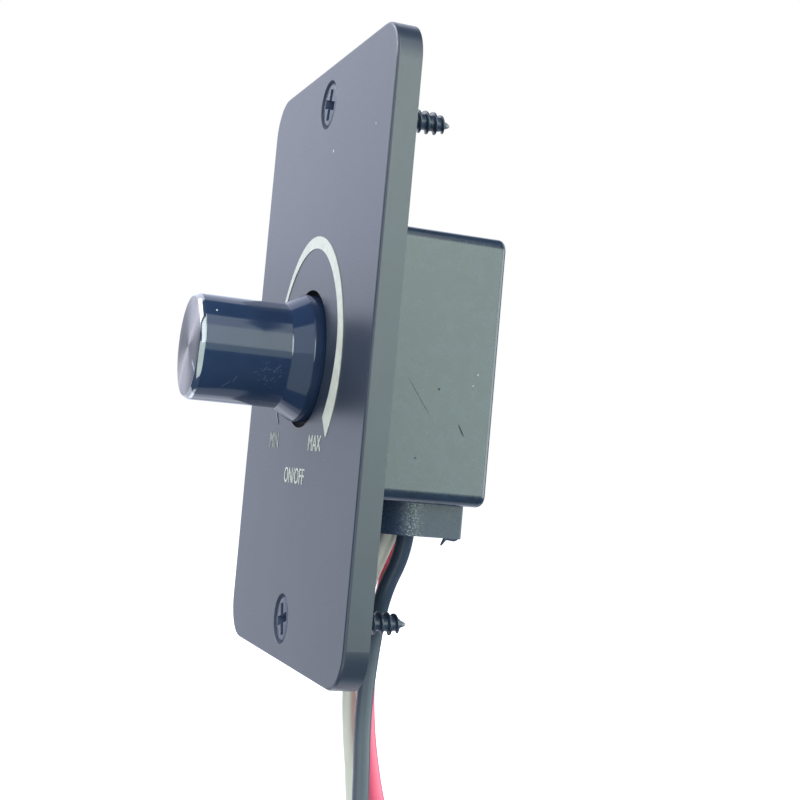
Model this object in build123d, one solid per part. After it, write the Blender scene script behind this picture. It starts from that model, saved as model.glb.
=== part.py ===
from build123d import *
import math
import os

# Rotary LED dimmer: a knob on an aluminium faceplate, with the control and its circuit in a box behind it.
# Millimetres. The origin is the centre of the faceplate's back face, which lies on the panel.
# +Y points into the panel, +Z up, and the knob stands out of the front, towards -Y.

# Clearances and edges that several pieces share
running_clearance = 0.04
press_clearance = 0.02
fixed_clearance = 0.05
contact_gap = 0.05
body_gap = 0.3
moulded_edge = 0.3
cut_overrun = 1.0
plane_tolerance = 0.001

# Faceplate
plate_width = 50.0
plate_height = 75.0
plate_thickness = 3.0
plate_corner = 5.0
plate_edge_round = 0.35
recess_depth = 1.7
knob_recess_gap = 0.7
seat_depth = 0.4
seat_clearance = 0.1

# Printed arc, from a thin start at MIN to a broad end at MAX, in degrees from +X.
# Its edges wind through five even stations, named here from the MAX end to the MIN end.
arc_outer_radii = (15.1, 14.8, 15.4, 14.1, 12.8)
arc_inner_radii = (12.2, 13.05, 13.9, 13.25, 12.5)
arc_start_angle = 220.0
arc_end_angle = -40.0
arc_end_slant = 3.0
arc_print = 0.08
arc_steps = 16

# Mounting screws
screw_inset = 5.15
screw_length = 16.4
screw_head_diameter = 6.0
screw_head_sink = 0.15
screw_thread_diameter = 3.0
screw_neck_diameter = 2.3
screw_neck_past_plate = 0.25
screw_point_length = 1.3
screw_point_flat = 0.2
screw_hole_clearance = 0.2

# Knob
knob_diameter = 13.0
knob_flare = 1.45
knob_height = 14.8
knob_chamfer = 0.36
knob_chamfer_length = 0.66
knob_flare_start = 3.5
knob_flare_end = 1.15
knob_face_wall = 2.2
knob_edge = 0.15
press_travel = 0.6
recess_floor_clearance = 0.5
nut_cavity_clearance = 0.5
insert_diameter = 9.5
insert_slit = 0.6

# Shaft, bush, nut and washer
shaft_diameter = 6.0
shaft_flat_depth = 1.5
shaft_end_gap = 0.4
bush_wall = 0.46
bush_thread_shown = 0.8
bush_flange_width = 1.0
bush_flange = 0.8
bush_hole_clearance = 0.1
nut_across_flats = 10.0
nut_thickness = 1.8
washer_diameter = 11.0
washer_thickness = 0.4
washer_notches = 12
washer_notch_width = 0.8
washer_notch_depth = 0.8

# Housing and carrier
housing_width = 25.0
housing_height = 33.0
housing_depth = 17.8
housing_wall = 1.5
housing_edge = 1.5
housing_rear_edge = 0.9
housing_inner_edge = 0.5
carrier_thickness = 1.5
carrier_skirt = 3.5
carrier_skirt_wall = 1.1
bead_radius = 0.35
bead_length = 12.0

# Potentiometer
pot_width = 12.4
pot_case_depth = 5.8
pot_case_wall = 0.7
frame_sheet = 0.5
frame_strap_width = 6.0
frame_leg_width = 2.0
frame_tab_width = 2.0
frame_tab_height = 1.2
shaft_collar_width = 0.8
shaft_collar = 0.75
shaft_inner_diameter = 4.0
shaft_inner_flats = 3.0
rotor_gap = 0.4
rotor_thickness = 1.4
rotor_hub_wall = 0.76
wafer_thickness = 0.8
wafer_inset = 0.2
wafer_tongue_width = 8.4
wafer_tongue_drop = 2.0
wiper_sheet = 0.2
wiper_finger_width = 1.0
wiper_finger_sheet = 0.4
wiper_track_radius = 4.0
terminal_width = 0.8
terminal_sheet = 0.4
terminal_pitch = 2.5
terminal_past_board = 0.6

# Push switch
switch_wall = 0.8
plunger_diameter = 8.2
plunger_head = 1.2
plunger_stem_diameter = 3.0
contact_ring_inset = 0.1
contact_ring_width = 0.6
contact_ring_sheet = 0.2
switch_terminal_reach = 0.8
switch_terminal_gap = 0.1
spring_diameter = 5.2
spring_wire = 0.45
spring_section_sides = 6
spring_pitch = 1.0
spring_end_clearance = 0.01

# Circuit
board_side_gap = 0.5
board_top_gap = 0.6
board_bottom_gap = 1.6
board_thickness = 1.2
board_hole_clearance = 0.1
board_post_diameter = 3.2
board_post_height = 1.7
board_post_inset = 2.2
package_standoff = 0.2
capacitor_diameter = 6.3
capacitor_length = 7.6
capacitor_edge = 0.15
capacitor_groove_depth = 0.3
capacitor_groove_width = 0.9
capacitor_groove_rise = 0.9
capacitor_leg_pitch = 2.5
capacitor_leg_diameter = 0.6
capacitor_inset = 4.9
capacitor_drop = 4.1
transistor_width = 6.5
transistor_length = 6.1
transistor_thickness = 2.3
transistor_inset = 4.3
transistor_drop = 3.9
transistor_leg_pitch = 4.57
transistor_leg_width = 0.8
transistor_leg_length = 0.55
transistor_tab_length = 0.8
transistor_tab_inset = 0.4
chip_width = 3.9
chip_length = 4.9
chip_thickness = 1.5
chip_inset = 3.6
chip_rise = 3.8
chip_pitch = 1.27
chip_leg_count = 4
chip_leg_width = 0.4
chip_leg_sheet = 0.2
chip_leg_knee = 0.4
chip_leg_reach = 1.0
diode_width = 2.6
diode_length = 4.3
diode_thickness = 2.2
resistor_length = 2.0
resistor_width = 1.25
resistor_thickness = 0.55
resistor_pitch = 3.0
resistor_right_top = 4.4
resistor_left_top = -6.0

# Wire outlet and leads
outlet_width = 16.0
outlet_drop = 4.15
outlet_front = 5.2
outlet_front_round = 5.0
outlet_rear_inset = 0.95
outlet_edge = 0.4
outlet_neck_wall = 0.8
outlet_lip = 0.5
outlet_lip_height = 0.8
outlet_neck_clearance = 0.1
lead_diameter = 2.2
lead_pitch = 2.6
lead_first_x = 1.0
lead_board_gap = 0.05
lead_rise = 2.2
lead_slot_lean = 0.6
lead_slot_back = -0.3
lead_slot_room = 0.9
lead_corner_share = 0.45
lead_end_diameter = 1.2
lead_end_length = 6.0
solder_width = 1.9
solder_height = 1.65
solder_length = 2.6
solder_round = 0.6

# Diameters that follow from the fits
recess_diameter = knob_diameter + 2 * knob_flare + 2 * knob_recess_gap
screw_hole_diameter = screw_thread_diameter + 2 * screw_hole_clearance
countersink_diameter = screw_head_diameter + 2 * screw_head_sink
bush_bore = shaft_diameter + 2 * running_clearance
bush_diameter = bush_bore + 2 * bush_wall
bush_hole = bush_diameter + 2 * bush_hole_clearance
insert_bore = insert_diameter + 2 * press_clearance
nut_corners = nut_across_flats * 2 / math.sqrt(3)
pot_cavity_diameter = pot_width - 2 * pot_case_wall
rotor_diameter = pot_cavity_diameter - 2 * rotor_gap
rotor_bore = shaft_inner_diameter + 2 * running_clearance
rotor_hub_diameter = rotor_bore + 2 * rotor_hub_wall
contact_ring_outer = plunger_diameter - 2 * contact_ring_inset
contact_ring_inner = contact_ring_outer - 2 * contact_ring_width

# Places along the knob's axis, from the front backwards
plate_front = -plate_thickness
recess_floor = plate_front + recess_depth
seat_floor = -seat_depth
carrier_back = seat_floor + carrier_thickness
frame_back = carrier_back + frame_sheet
pot_back = frame_back + pot_case_depth
housing_floor = housing_depth - housing_wall
board_back = housing_floor - board_post_height
board_front = board_back - board_thickness
pin_end = board_back + terminal_past_board
washer_front = recess_floor - washer_thickness
nut_front = washer_front - nut_thickness
bush_front = nut_front - bush_thread_shown
bush_back = frame_back + bush_flange
knob_face = plate_front - knob_height
knob_base = recess_floor - recess_floor_clearance - press_travel
knob_cavity_top = nut_front - press_travel - nut_cavity_clearance
insert_top = knob_face + knob_face_wall
insert_bottom = bush_front - press_travel - nut_cavity_clearance
shaft_front = insert_top + shaft_end_gap
collar_front = bush_back + contact_gap
collar_back = collar_front + shaft_collar
rotor_front = collar_back + press_travel + body_gap
rotor_back = rotor_front + rotor_thickness
wafer_back = pot_back - wafer_inset
wafer_front = wafer_back - wafer_thickness
plunger_front = pot_back + press_travel
plunger_seat = plunger_front + plunger_head
ring_back = plunger_seat + contact_ring_sheet
switch_contact = ring_back + press_travel + contact_gap
switch_floor = board_front - switch_wall

# Places across it
screw_z = plate_height / 2 - screw_inset
inner_width = housing_width - 2 * housing_wall
inner_height = housing_height - 2 * housing_wall
housing_bottom = -housing_height / 2
board_half = inner_width / 2 - board_side_gap
board_top = inner_height / 2 - board_top_gap
board_bottom = board_bottom_gap - inner_height / 2
capacitor_x = board_half - capacitor_inset
capacitor_z = board_top - capacitor_drop
transistor_x = transistor_inset - board_half
transistor_z = board_top - transistor_drop
chip_x = board_half - chip_inset
chip_z = board_bottom + chip_rise
side_row_x = (pot_width / 2 + frame_sheet + inner_width / 2) / 2
outlet_rear = housing_depth - outlet_rear_inset
outlet_bottom = housing_bottom - outlet_drop
lead_top = board_bottom + lead_rise
lead_row_y = board_front - lead_diameter / 2 - lead_board_gap
lead_slot_x = lead_first_x - lead_pitch - lead_slot_lean
lead_slot_y = lead_row_y + lead_slot_back
slot_x = 2 * lead_pitch + lead_diameter + 2 * lead_slot_room
slot_y = lead_diameter + 2 * lead_slot_room


def block(x0, x1, y0, y1, z0, z1):
    """A box between two corners."""
    return Pos((x0 + x1) / 2, (y0 + y1) / 2, (z0 + z1) / 2) * Box(abs(x1 - x0), abs(y1 - y0), abs(z1 - z0))


def rod(diameter, y0, y1, x=0.0, z=0.0):
    """A round bar along Y."""
    return Pos(x, (y0 + y1) / 2, z) * Cylinder(diameter / 2, y1 - y0, rotation=(90, 0, 0))


def drill(diameter, y0, y1, x=0.0, z=0.0):
    """A cutting bar along Y that runs past both ends of a hole."""
    return rod(diameter, y0 - cut_overrun, y1 + cut_overrun, x, z)


def slab(width, height, corner, y0, y1):
    """A plate with rounded corners, flat to the panel."""
    return extrude(Plane.XZ.offset(-y1) * RectangleRounded(width, height, corner), y1 - y0)


def turned(points):
    """A solid turned about Y from a profile of radius and place along Y."""
    return revolve(make_face(Polyline(*points, close=True)), Axis.Y)


def edges_at(part, y):
    """The edges of a part that lie in the plane at y."""
    return part.edges().filter_by_position(Axis.Y, y - plane_tolerance, y + plane_tolerance)


def flatted(diameter, flats, y0, y1):
    """A round bar with two flats, which slides in the rotor and turns it."""
    return rod(diameter, y0, y1) & block(-diameter, diameter, y0, y1, -flats / 2, flats / 2)


def d_section(diameter, flat_depth, y0, y1):
    """A round bar with one flat, on its upper side."""
    return rod(diameter, y0, y1) & block(-diameter, diameter, y0, y1, -diameter, diameter / 2 - flat_depth)


def make_faceplate():
    """The plate: rounded corners, knob recess, countersunk holes and a shallow seat for the box behind."""
    plate = slab(plate_width, plate_height, plate_corner, plate_front, 0)
    plate = fillet(edges_at(plate, plate_front), plate_edge_round)
    plate -= rod(recess_diameter, plate_front - cut_overrun, recess_floor)
    plate -= drill(bush_hole, plate_front, 0)
    seat_width = housing_width + 2 * seat_clearance
    seat_height = housing_height + 2 * seat_clearance
    plate -= slab(seat_width, seat_height, housing_edge + seat_clearance, seat_floor, cut_overrun)
    hole = screw_hole_diameter / 2
    mouth = countersink_diameter / 2
    sink_end = plate_front + mouth - hole
    cone = [(0, plate_front), (mouth, plate_front), (hole, sink_end)]
    sink = turned(cone + [(hole, cut_overrun), (0, cut_overrun)])
    for side in (-1, 1):
        plate -= Pos(0, 0, side * screw_z) * sink
    return plate


def arc_edge(radii, end_angle):
    """One edge of the printed arc, eased from station to station."""
    points = []
    for step in range(arc_steps + 1):
        place = (len(radii) - 1) * step / arc_steps
        station = min(int(place), len(radii) - 2)
        ease = (1 - math.cos(math.pi * (place - station))) / 2
        radius = radii[station] + (radii[station + 1] - radii[station]) * ease
        angle = math.radians(end_angle + (arc_start_angle - end_angle) * step / arc_steps)
        points.append((radius * math.cos(angle), radius * math.sin(angle)))
    return Spline(*points)


def make_dial_arc():
    """The printed arc, broad and cut at a slant at the MAX end, winding inwards to a thin start at MIN."""
    outer_edge = arc_edge(arc_outer_radii, arc_end_angle)
    inner_edge = arc_edge(arc_inner_radii, arc_end_angle + arc_end_slant)
    ends = [Line(outer_edge @ 0, inner_edge @ 0), Line(outer_edge @ 1, inner_edge @ 1)]
    face = make_face([outer_edge, inner_edge] + ends)
    return extrude(Plane.XZ.offset(-plate_front) * face, arc_print)


def make_mounting_screws():
    """Two self-tapping screws; the threaded length is a plain bar over the crests of its thread."""
    head = screw_head_diameter / 2
    neck = screw_neck_diameter / 2
    thread = screw_thread_diameter / 2
    top = plate_front + screw_head_sink
    tip = top + screw_length
    profile = [
        (0, top),
        (head, top),
        (neck, top + head - neck),
        (neck, screw_neck_past_plate),
        (thread, screw_neck_past_plate),
        (thread, tip - screw_point_length),
        (screw_point_flat / 2, tip),
        (0, tip),
    ]
    screw = turned(profile)
    return [Pos(0, 0, side * screw_z) * screw for side in (-1, 1)]


def make_knob():
    """The turned knob: barrel, flare and lip outside, a stepped bore for the nut and the insert inside."""
    barrel = knob_diameter / 2
    base = barrel + knob_flare
    cavity = nut_corners / 2 + nut_cavity_clearance
    bore = insert_bore / 2
    profile = [
        (0, knob_face),
        (barrel - knob_chamfer, knob_face),
        (barrel, knob_face + knob_chamfer_length),
        (barrel, plate_front - knob_flare_start),
        (base, plate_front - knob_flare_end),
        (base, knob_base - knob_edge),
        (base - knob_edge, knob_base),
        (cavity, knob_base),
        (cavity, knob_cavity_top),
        (bore, knob_cavity_top),
        (bore, insert_top),
        (0, insert_top),
    ]
    return turned(profile)


def make_knob_insert():
    """The plastic core pressed into the knob, with a D bore for the shaft and a slit that lets it grip."""
    core = rod(insert_diameter, insert_top, insert_bottom)
    bore_end = shaft_front - shaft_end_gap / 2
    core -= d_section(bush_bore, shaft_flat_depth, bore_end, insert_bottom + cut_overrun)
    middle = (insert_top + insert_bottom) / 2
    slit = block(-insert_slit / 2, insert_slit / 2, middle, insert_bottom + cut_overrun, 0, -insert_diameter)
    return core - slit


def make_shaft():
    """The shaft: D end for the knob, round length in the bush, collar behind it and a flatted inner end."""
    flat_end = insert_bottom + body_gap
    shaft = d_section(shaft_diameter, shaft_flat_depth, shaft_front, flat_end)
    shaft += rod(shaft_diameter, flat_end, collar_front)
    shaft += rod(shaft_diameter + 2 * shaft_collar_width, collar_front, collar_back)
    shaft += flatted(shaft_inner_diameter, shaft_inner_flats, collar_back, plunger_front - contact_gap)
    return shaft


def make_pot_bush():
    """The threaded bush, with its flange behind the frame; the thread is a plain bar over its crests."""
    bush = rod(bush_diameter, bush_front, frame_back)
    bush += rod(bush_diameter + 2 * bush_flange_width, frame_back, bush_back)
    return bush - drill(bush_bore, bush_front, bush_back)


def make_bush_nut():
    """The thin hexagon nut in the recess, with its outer corners broken by a turned cone."""
    hexagon = RegularPolygon(nut_across_flats / 2, 6, major_radius=False)
    nut = extrude(Plane.XZ.offset(-washer_front) * hexagon, nut_thickness)
    corner = nut_corners / 2
    face = nut_across_flats / 2
    shoulder = nut_front + (corner - face) / 2
    crest = [(0, nut_front), (face, nut_front), (corner, shoulder)]
    crown = turned(crest + [(corner, washer_front), (0, washer_front)])
    return (nut & crown) - drill(bush_diameter + 2 * press_clearance, nut_front, washer_front)


def make_lock_washer():
    """The toothed washer under the nut."""
    washer = rod(washer_diameter, washer_front, recess_floor) - drill(bush_hole, washer_front, recess_floor)
    half = washer_notch_width / 2
    notch = block(-half, half, washer_front - cut_overrun, recess_floor + cut_overrun,
                  washer_diameter / 2 - washer_notch_depth, washer_diameter)
    for step in range(washer_notches):
        washer -= Rot(0, 360 / washer_notches * step, 0) * notch
    return washer


def bead(radius, length):
    """The round bead along Z by which the carrier snaps into the box."""
    return Pos(0, carrier_back + carrier_skirt / 2, 0) * Cylinder(radius, length)


def neck(room, z0, z1, lip=0.0):
    """A block round the wire slot: the outlet's neck, its lip, or the opening for it in the box's wall."""
    half_x = slot_x / 2 + outlet_neck_wall + room + lip
    half_y = slot_y / 2 + outlet_neck_wall + room
    left, front = lead_slot_x - half_x, lead_slot_y - half_y
    return block(left, left + 2 * half_x, front, front + 2 * half_y, z0, z1)


def make_housing():
    """The box: a cup with rounded edges, board posts, grooves for the carrier's beads and a wire opening."""
    cup = slab(housing_width, housing_height, housing_edge, seat_floor, housing_depth)
    cup = fillet(edges_at(cup, housing_depth), housing_rear_edge)
    cup -= slab(inner_width, inner_height, housing_inner_edge, seat_floor - cut_overrun, housing_floor)
    post_x = board_half - board_post_inset
    for x in (-post_x, post_x):
        for z in (board_bottom + board_post_inset, board_top - board_post_inset):
            cup += rod(board_post_diameter, board_back, housing_floor + housing_wall / 2, x, z)
    groove = bead(bead_radius + fixed_clearance, bead_length + 2 * fixed_clearance)
    cup -= [Pos(side * inner_width / 2, 0, 0) * groove for side in (-1, 1)]
    return cup - neck(outlet_neck_clearance, housing_bottom - cut_overrun, housing_bottom + 2 * housing_wall)


def make_carrier():
    """The front wall that closes the box: bush hole, slot for the frame's tab, skirt with snap beads."""
    width = inner_width - 2 * fixed_clearance
    height = inner_height - 2 * fixed_clearance
    back = carrier_back + carrier_skirt
    carrier = slab(width, height, housing_inner_edge, seat_floor, back)
    hollow_width = width - 2 * carrier_skirt_wall
    hollow_height = height - 2 * carrier_skirt_wall
    carrier -= slab(hollow_width, hollow_height, housing_inner_edge, carrier_back, back + cut_overrun)
    round_bead = bead(bead_radius, bead_length)
    for side in (-1, 1):
        outside = block(side * (width / 2 - carrier_skirt_wall), side * housing_width, seat_floor, back,
                        -bead_length, bead_length)
        carrier += (Pos(side * inner_width / 2, 0, 0) * round_bead) & outside
    carrier -= drill(bush_hole, seat_floor, carrier_back)
    tab_x = frame_tab_width / 2 + fixed_clearance
    carrier -= block(-tab_x, tab_x, seat_floor - cut_overrun, carrier_back + cut_overrun,
                     pot_width / 2 - frame_sheet - fixed_clearance, pot_width / 2 + fixed_clearance)
    return carrier


def make_pot_frame():
    """The folded steel frame: front plate with the bush hole, two straps to the board, a locating tab."""
    half = pot_width / 2
    outer = half + frame_sheet
    strap = frame_strap_width / 2
    leg = frame_leg_width / 2
    tab = frame_tab_width / 2
    frame = block(-outer, outer, carrier_back, frame_back, -half, half)
    frame -= drill(bush_diameter + 2 * press_clearance, carrier_back, frame_back)
    for side in (-1, 1):
        frame += block(side * half, side * outer, carrier_back, board_front, -strap, strap)
        frame += block(side * half, side * outer, board_front, pin_end, -leg, leg)
    return frame + block(-tab, tab, carrier_back - frame_tab_height, carrier_back, half - frame_sheet, half)


def make_pot_case():
    """The potentiometer's moulded case: a round chamber, open below for the wafer's tongue."""
    half = pot_width / 2
    case = block(-half, half, frame_back, pot_back, -half, half)
    case = fillet(case.edges().filter_by(Axis.Y), moulded_edge)
    case -= drill(pot_cavity_diameter, frame_back, pot_back)
    tongue = wafer_tongue_width / 2 + fixed_clearance
    return case - block(-tongue, tongue, wafer_front - fixed_clearance, pot_back + cut_overrun, 0, -pot_width)


def make_resistance_track():
    """The phenolic wafer that carries the carbon track: a disc with a tongue for the terminals."""
    half = wafer_tongue_width / 2
    wafer = rod(pot_cavity_diameter - 2 * fixed_clearance, wafer_front, wafer_back)
    wafer += block(-half, half, wafer_front, wafer_back, 0, -pot_width / 2 - wafer_tongue_drop)
    return wafer - drill(rotor_hub_diameter + 2 * running_clearance, wafer_front, wafer_back)


def make_wiper_rotor():
    """The rotor: a disc with a hub that runs in the wafer and a flatted bore that the shaft slides in."""
    rotor = rod(rotor_diameter, rotor_front, rotor_back)
    rotor += rod(rotor_hub_diameter, rotor_back, wafer_back)
    flats = shaft_inner_flats + 2 * running_clearance
    return rotor - flatted(rotor_bore, flats, rotor_front - cut_overrun, wafer_back + cut_overrun)


def make_wiper_contact():
    """The bronze wiper on the rotor: a flat ring with one finger that reaches to the track."""
    ring_end = rotor_back + wiper_sheet
    ring = rod(2 * wiper_track_radius + wiper_finger_width, rotor_back, ring_end)
    ring -= drill(rotor_hub_diameter + 2 * fixed_clearance, rotor_back, ring_end)
    half = wiper_finger_width / 2
    thick = wiper_finger_sheet / 2
    return ring + block(-half, half, rotor_back, wafer_front - contact_gap,
                        wiper_track_radius - thick, wiper_track_radius + thick)


def terminal_sides(step):
    """The two sides in X of a terminal, counted in pitches from the middle."""
    return step * terminal_pitch - terminal_width / 2, step * terminal_pitch + terminal_width / 2


def pot_pin_low():
    """The lower side of the potentiometer's pins."""
    return terminal_sheet - pot_width / 2 - wafer_tongue_drop


def switch_pin_low():
    """The lower side of the switch's pins, which run along the top of its case."""
    return pot_width / 2 + switch_terminal_gap


def make_pot_terminals():
    """Three flat pins clinched to the wafer's tongue, which run back through the board."""
    low = pot_pin_low()
    pins = []
    for step in (-1, 0, 1):
        x0, x1 = terminal_sides(step)
        pin = block(x0, x1, wafer_back, pin_end, low, low + terminal_sheet)
        foot_back = wafer_back + terminal_sheet
        pins.append(pin + block(x0, x1, wafer_back, foot_back, low, low + 2 * terminal_sheet))
    return pins


def terminal_tail(step, room=0.0):
    """The inner tail of a switch terminal, which the contact ring meets when the knob is pushed in."""
    x0, x1 = terminal_sides(step)
    return block(x0 - room, x1 + room, switch_contact - room, switch_contact + terminal_sheet + room,
                 contact_ring_inner / 2 - switch_terminal_reach, switch_pin_low())


def make_switch_case():
    """The push switch's moulded case behind the potentiometer: a round bore and slots for two terminals."""
    half = pot_width / 2
    case = block(-half, half, pot_back, board_front, -half, half)
    case = fillet(case.edges().filter_by(Axis.Y), moulded_edge)
    case -= rod(plunger_diameter + 2 * running_clearance, pot_back - cut_overrun, switch_floor)
    for step in (-1, 1):
        case -= terminal_tail(step, fixed_clearance)
    return case


def make_switch_terminals():
    """Two flat pins of the switch, from inside its bore over its upper side and back through the board."""
    low = switch_pin_low()
    pins = []
    for step in (-1, 1):
        x0, x1 = terminal_sides(step)
        pins.append(terminal_tail(step) + block(x0, x1, switch_contact, pin_end, low, low + terminal_sheet))
    return pins


def make_switch_plunger():
    """The plunger that the shaft's end pushes: a head that runs in the bore and a stem inside the spring."""
    stem_end = switch_floor - press_travel - body_gap
    head = rod(plunger_diameter, plunger_front, plunger_seat)
    return head + rod(plunger_stem_diameter, plunger_seat, stem_end)


def make_contact_ring():
    """The bridge ring on the plunger's back."""
    disc = rod(contact_ring_outer, plunger_seat, ring_back)
    return disc - drill(contact_ring_inner, plunger_seat, ring_back)


def make_return_spring():
    """The coil spring between the plunger's head and the switch's floor, its wire drawn with a few flats."""
    length = switch_floor - plunger_seat - spring_wire - spring_end_clearance
    line = Helix(spring_pitch, length, spring_diameter / 2)
    section = RegularPolygon(spring_wire / 2, spring_section_sides)
    wire = sweep(Plane(line @ 0, z_dir=line % 0) * section, path=line)
    rear = switch_floor - spring_wire / 2 - spring_end_clearance / 2
    return Pos(0, rear, 0) * Rot(90, 0, 0) * wire


def make_circuit_board():
    """The board behind the control, drilled for the pins of what is soldered to it."""
    room = board_hole_clearance
    front = board_front - cut_overrun
    back = board_back + cut_overrun
    board = block(-board_half, board_half, board_front, board_back, board_bottom, board_top)
    pins = [(step, pot_pin_low()) for step in (-1, 0, 1)] + [(step, switch_pin_low()) for step in (-1, 1)]
    for step, low in pins:
        x0, x1 = terminal_sides(step)
        board -= block(x0 - room, x1 + room, front, back, low - room, low + terminal_sheet + room)
    leg = frame_leg_width / 2 + room
    for side in (-1, 1):
        near, far = side * (pot_width / 2 - room), side * (pot_width / 2 + frame_sheet + room)
        board -= block(near, far, front, back, -leg, leg)
    for x in capacitor_leg_places():
        board -= rod(capacitor_leg_diameter + 2 * room, front, back, x, capacitor_z)
    return board


def capacitor_leg_places():
    """The X places of the capacitor's two legs."""
    return capacitor_x - capacitor_leg_pitch / 2, capacitor_x + capacitor_leg_pitch / 2


def make_smoothing_capacitor():
    """The can with its rolled groove near the seal, standing on the board."""
    radius = capacitor_diameter / 2
    groove = radius - capacitor_groove_depth
    back = board_front - contact_gap
    front = back - capacitor_length
    groove_back = back - capacitor_groove_rise
    groove_front = groove_back - capacitor_groove_width
    profile = [
        (0, front),
        (radius - capacitor_edge, front),
        (radius, front + capacitor_edge),
        (radius, groove_front),
        (groove, groove_front + capacitor_groove_depth),
        (groove, groove_back - capacitor_groove_depth),
        (radius, groove_back),
        (radius, back),
        (0, back),
    ]
    can = Pos(capacitor_x, 0, capacitor_z) * turned(profile)
    for x in capacitor_leg_places():
        can += rod(capacitor_leg_diameter, back - capacitor_leg_diameter, pin_end, x, capacitor_z)
    return can


def package(x, z, width, length, thickness, standoff):
    """A moulded component body on the board, with its front edges broken."""
    back = board_front - standoff
    front = back - thickness
    body = block(x - width / 2, x + width / 2, front, back, z - length / 2, z + length / 2)
    return chamfer(edges_at(body, front), moulded_edge)


def make_power_transistor():
    """The transistor's moulded body."""
    return package(transistor_x, transistor_z, transistor_width, transistor_length, transistor_thickness,
                   package_standoff)


def make_transistor_legs():
    """The transistor's cooling tab and its two legs, flat on the board."""
    top = transistor_z + transistor_length / 2
    low = transistor_z - transistor_length / 2
    front = board_front - terminal_sheet
    tab = transistor_width / 2 - transistor_tab_inset
    left, right = transistor_x - tab, transistor_x + tab
    pieces = [block(left, right, front, board_front, top, top + transistor_tab_length)]
    half = transistor_leg_width / 2
    for side in (-1, 1):
        x = transistor_x + side * transistor_leg_pitch / 2
        pieces.append(block(x - half, x + half, front, board_front, low - transistor_leg_length, low))
    return pieces


def make_control_chip():
    """The control chip's moulded body, just off the board."""
    return package(chip_x, chip_z, chip_width, chip_length, chip_thickness, package_standoff)


def make_chip_legs():
    """Gull-wing legs in two rows, one on each side of the chip."""
    shoulder = board_front - package_standoff - (chip_thickness + chip_leg_sheet) / 2
    legs = []
    for side in (-1, 1):
        root = chip_x + side * chip_width / 2
        knee = root + side * chip_leg_knee
        inner_knee = knee - side * chip_leg_sheet
        toe = root + side * chip_leg_reach
        for step in range(chip_leg_count):
            z = chip_z + (step - (chip_leg_count - 1) / 2) * chip_pitch
            z0 = z - chip_leg_width / 2
            z1 = z + chip_leg_width / 2
            leg = block(root, knee, shoulder, shoulder + chip_leg_sheet, z0, z1)
            leg += block(inner_knee, knee, shoulder, board_front, z0, z1)
            leg += block(inner_knee, toe, board_front - chip_leg_sheet, board_front, z0, z1)
            legs.append(leg)
    return legs


def make_flyback_diode():
    """The diode's moulded block, flat on the board."""
    return package(-side_row_x, 0, diode_width, diode_length, diode_thickness, 0)


def make_chip_resistors():
    """Five small chip resistors along the board's sides."""
    places = [(side_row_x, resistor_right_top - step * resistor_pitch) for step in range(3)]
    places += [(-side_row_x, resistor_left_top - step * resistor_pitch) for step in range(2)]
    half_x = resistor_length / 2
    half_z = resistor_width / 2
    front = board_front - resistor_thickness
    return [block(x - half_x, x + half_x, front, board_front, z - half_z, z + half_z) for x, z in places]


def make_solder_joints():
    """The three mounds of solder that hold the leads' inner ends to the board."""
    front = board_front - solder_height
    half = solder_width / 2
    mounds = []
    for step in range(3):
        x = lead_first_x - step * lead_pitch
        mound = block(x - half, x + half, front, board_front, lead_top, lead_top + solder_length)
        mounds.append(fillet(edges_at(mound, front), solder_round))
    return mounds


def make_wire_outlet():
    """The moulded block under the box: round in front, a lipped neck through the box's wall, a wire slot."""
    wall_top = housing_bottom + housing_wall
    lip_top = wall_top + outlet_lip_height
    half = outlet_width / 2
    body = block(-half, half, outlet_front, outlet_rear, outlet_bottom, housing_bottom)
    body = fillet(body.edges().filter_by(Axis.Z).sort_by(Axis.Y)[2:], outlet_edge)
    body = fillet(body.edges().filter_by(Axis.Z).sort_by(Axis.Y)[:2], outlet_front_round)
    body += neck(0, housing_bottom, lip_top)
    body += neck(0, wall_top, lip_top, outlet_neck_clearance + outlet_lip)
    place = Plane.XY.offset(outlet_bottom - cut_overrun) * Pos(lead_slot_x, lead_slot_y)
    return body - extrude(place * SlotOverall(slot_x, slot_y), lip_top - outlet_bottom + 2 * cut_overrun)


# The leads below the outlet: places in X, places behind their row, and heights from the outlet's end
BLACK_HANG = [
    (-0.6, 0.35, -2.75),
    (-3.8, -0.8, -8.35),
    (-4.3, -1.5, -15.85),
    (-4.2, -1.9, -24.35),
    (-4.2, -1.1, -34.35),
    (-4.0, -0.95, -47.35),
    (-3.8, -1.35, -62.35),
    (-4.1, -1.75, -77.35),
    (-4.0, -1.45, -91.35),
]
WHITE_HANG = [
    (-3.3, -1.45, -2.35),
    (-6.5, -2.4, -7.35),
    (-9.3, -2.75, -15.35),
    (-9.3, -2.05, -24.35),
    (-8.9, -0.35, -35.35),
    (-9.2, 0.85, -49.35),
    (-10.0, -0.35, -64.35),
    (-10.4, -1.75, -78.35),
    (-10.3, -2.25, -88.35),
]
RED_HANG = [
    (-5.6, 0.65, -2.35),
    (-6.95, 0.45, -8.35),
    (-6.9, -0.9, -15.35),
    (-6.85, -0.6, -24.35),
    (-6.6, 1.15, -33.35),
    (-6.65, 4.15, -42.35),
    (-6.9, 5.15, -54.35),
    (-7.2, 4.55, -67.35),
    (-7.3, 3.75, -79.35),
    (-7.2, 3.35, -90.35),
]
lead_bend_above_outlet = 3.35
HANGS = {"black": BLACK_HANG, "white": WHITE_HANG, "red": RED_HANG}


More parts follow.
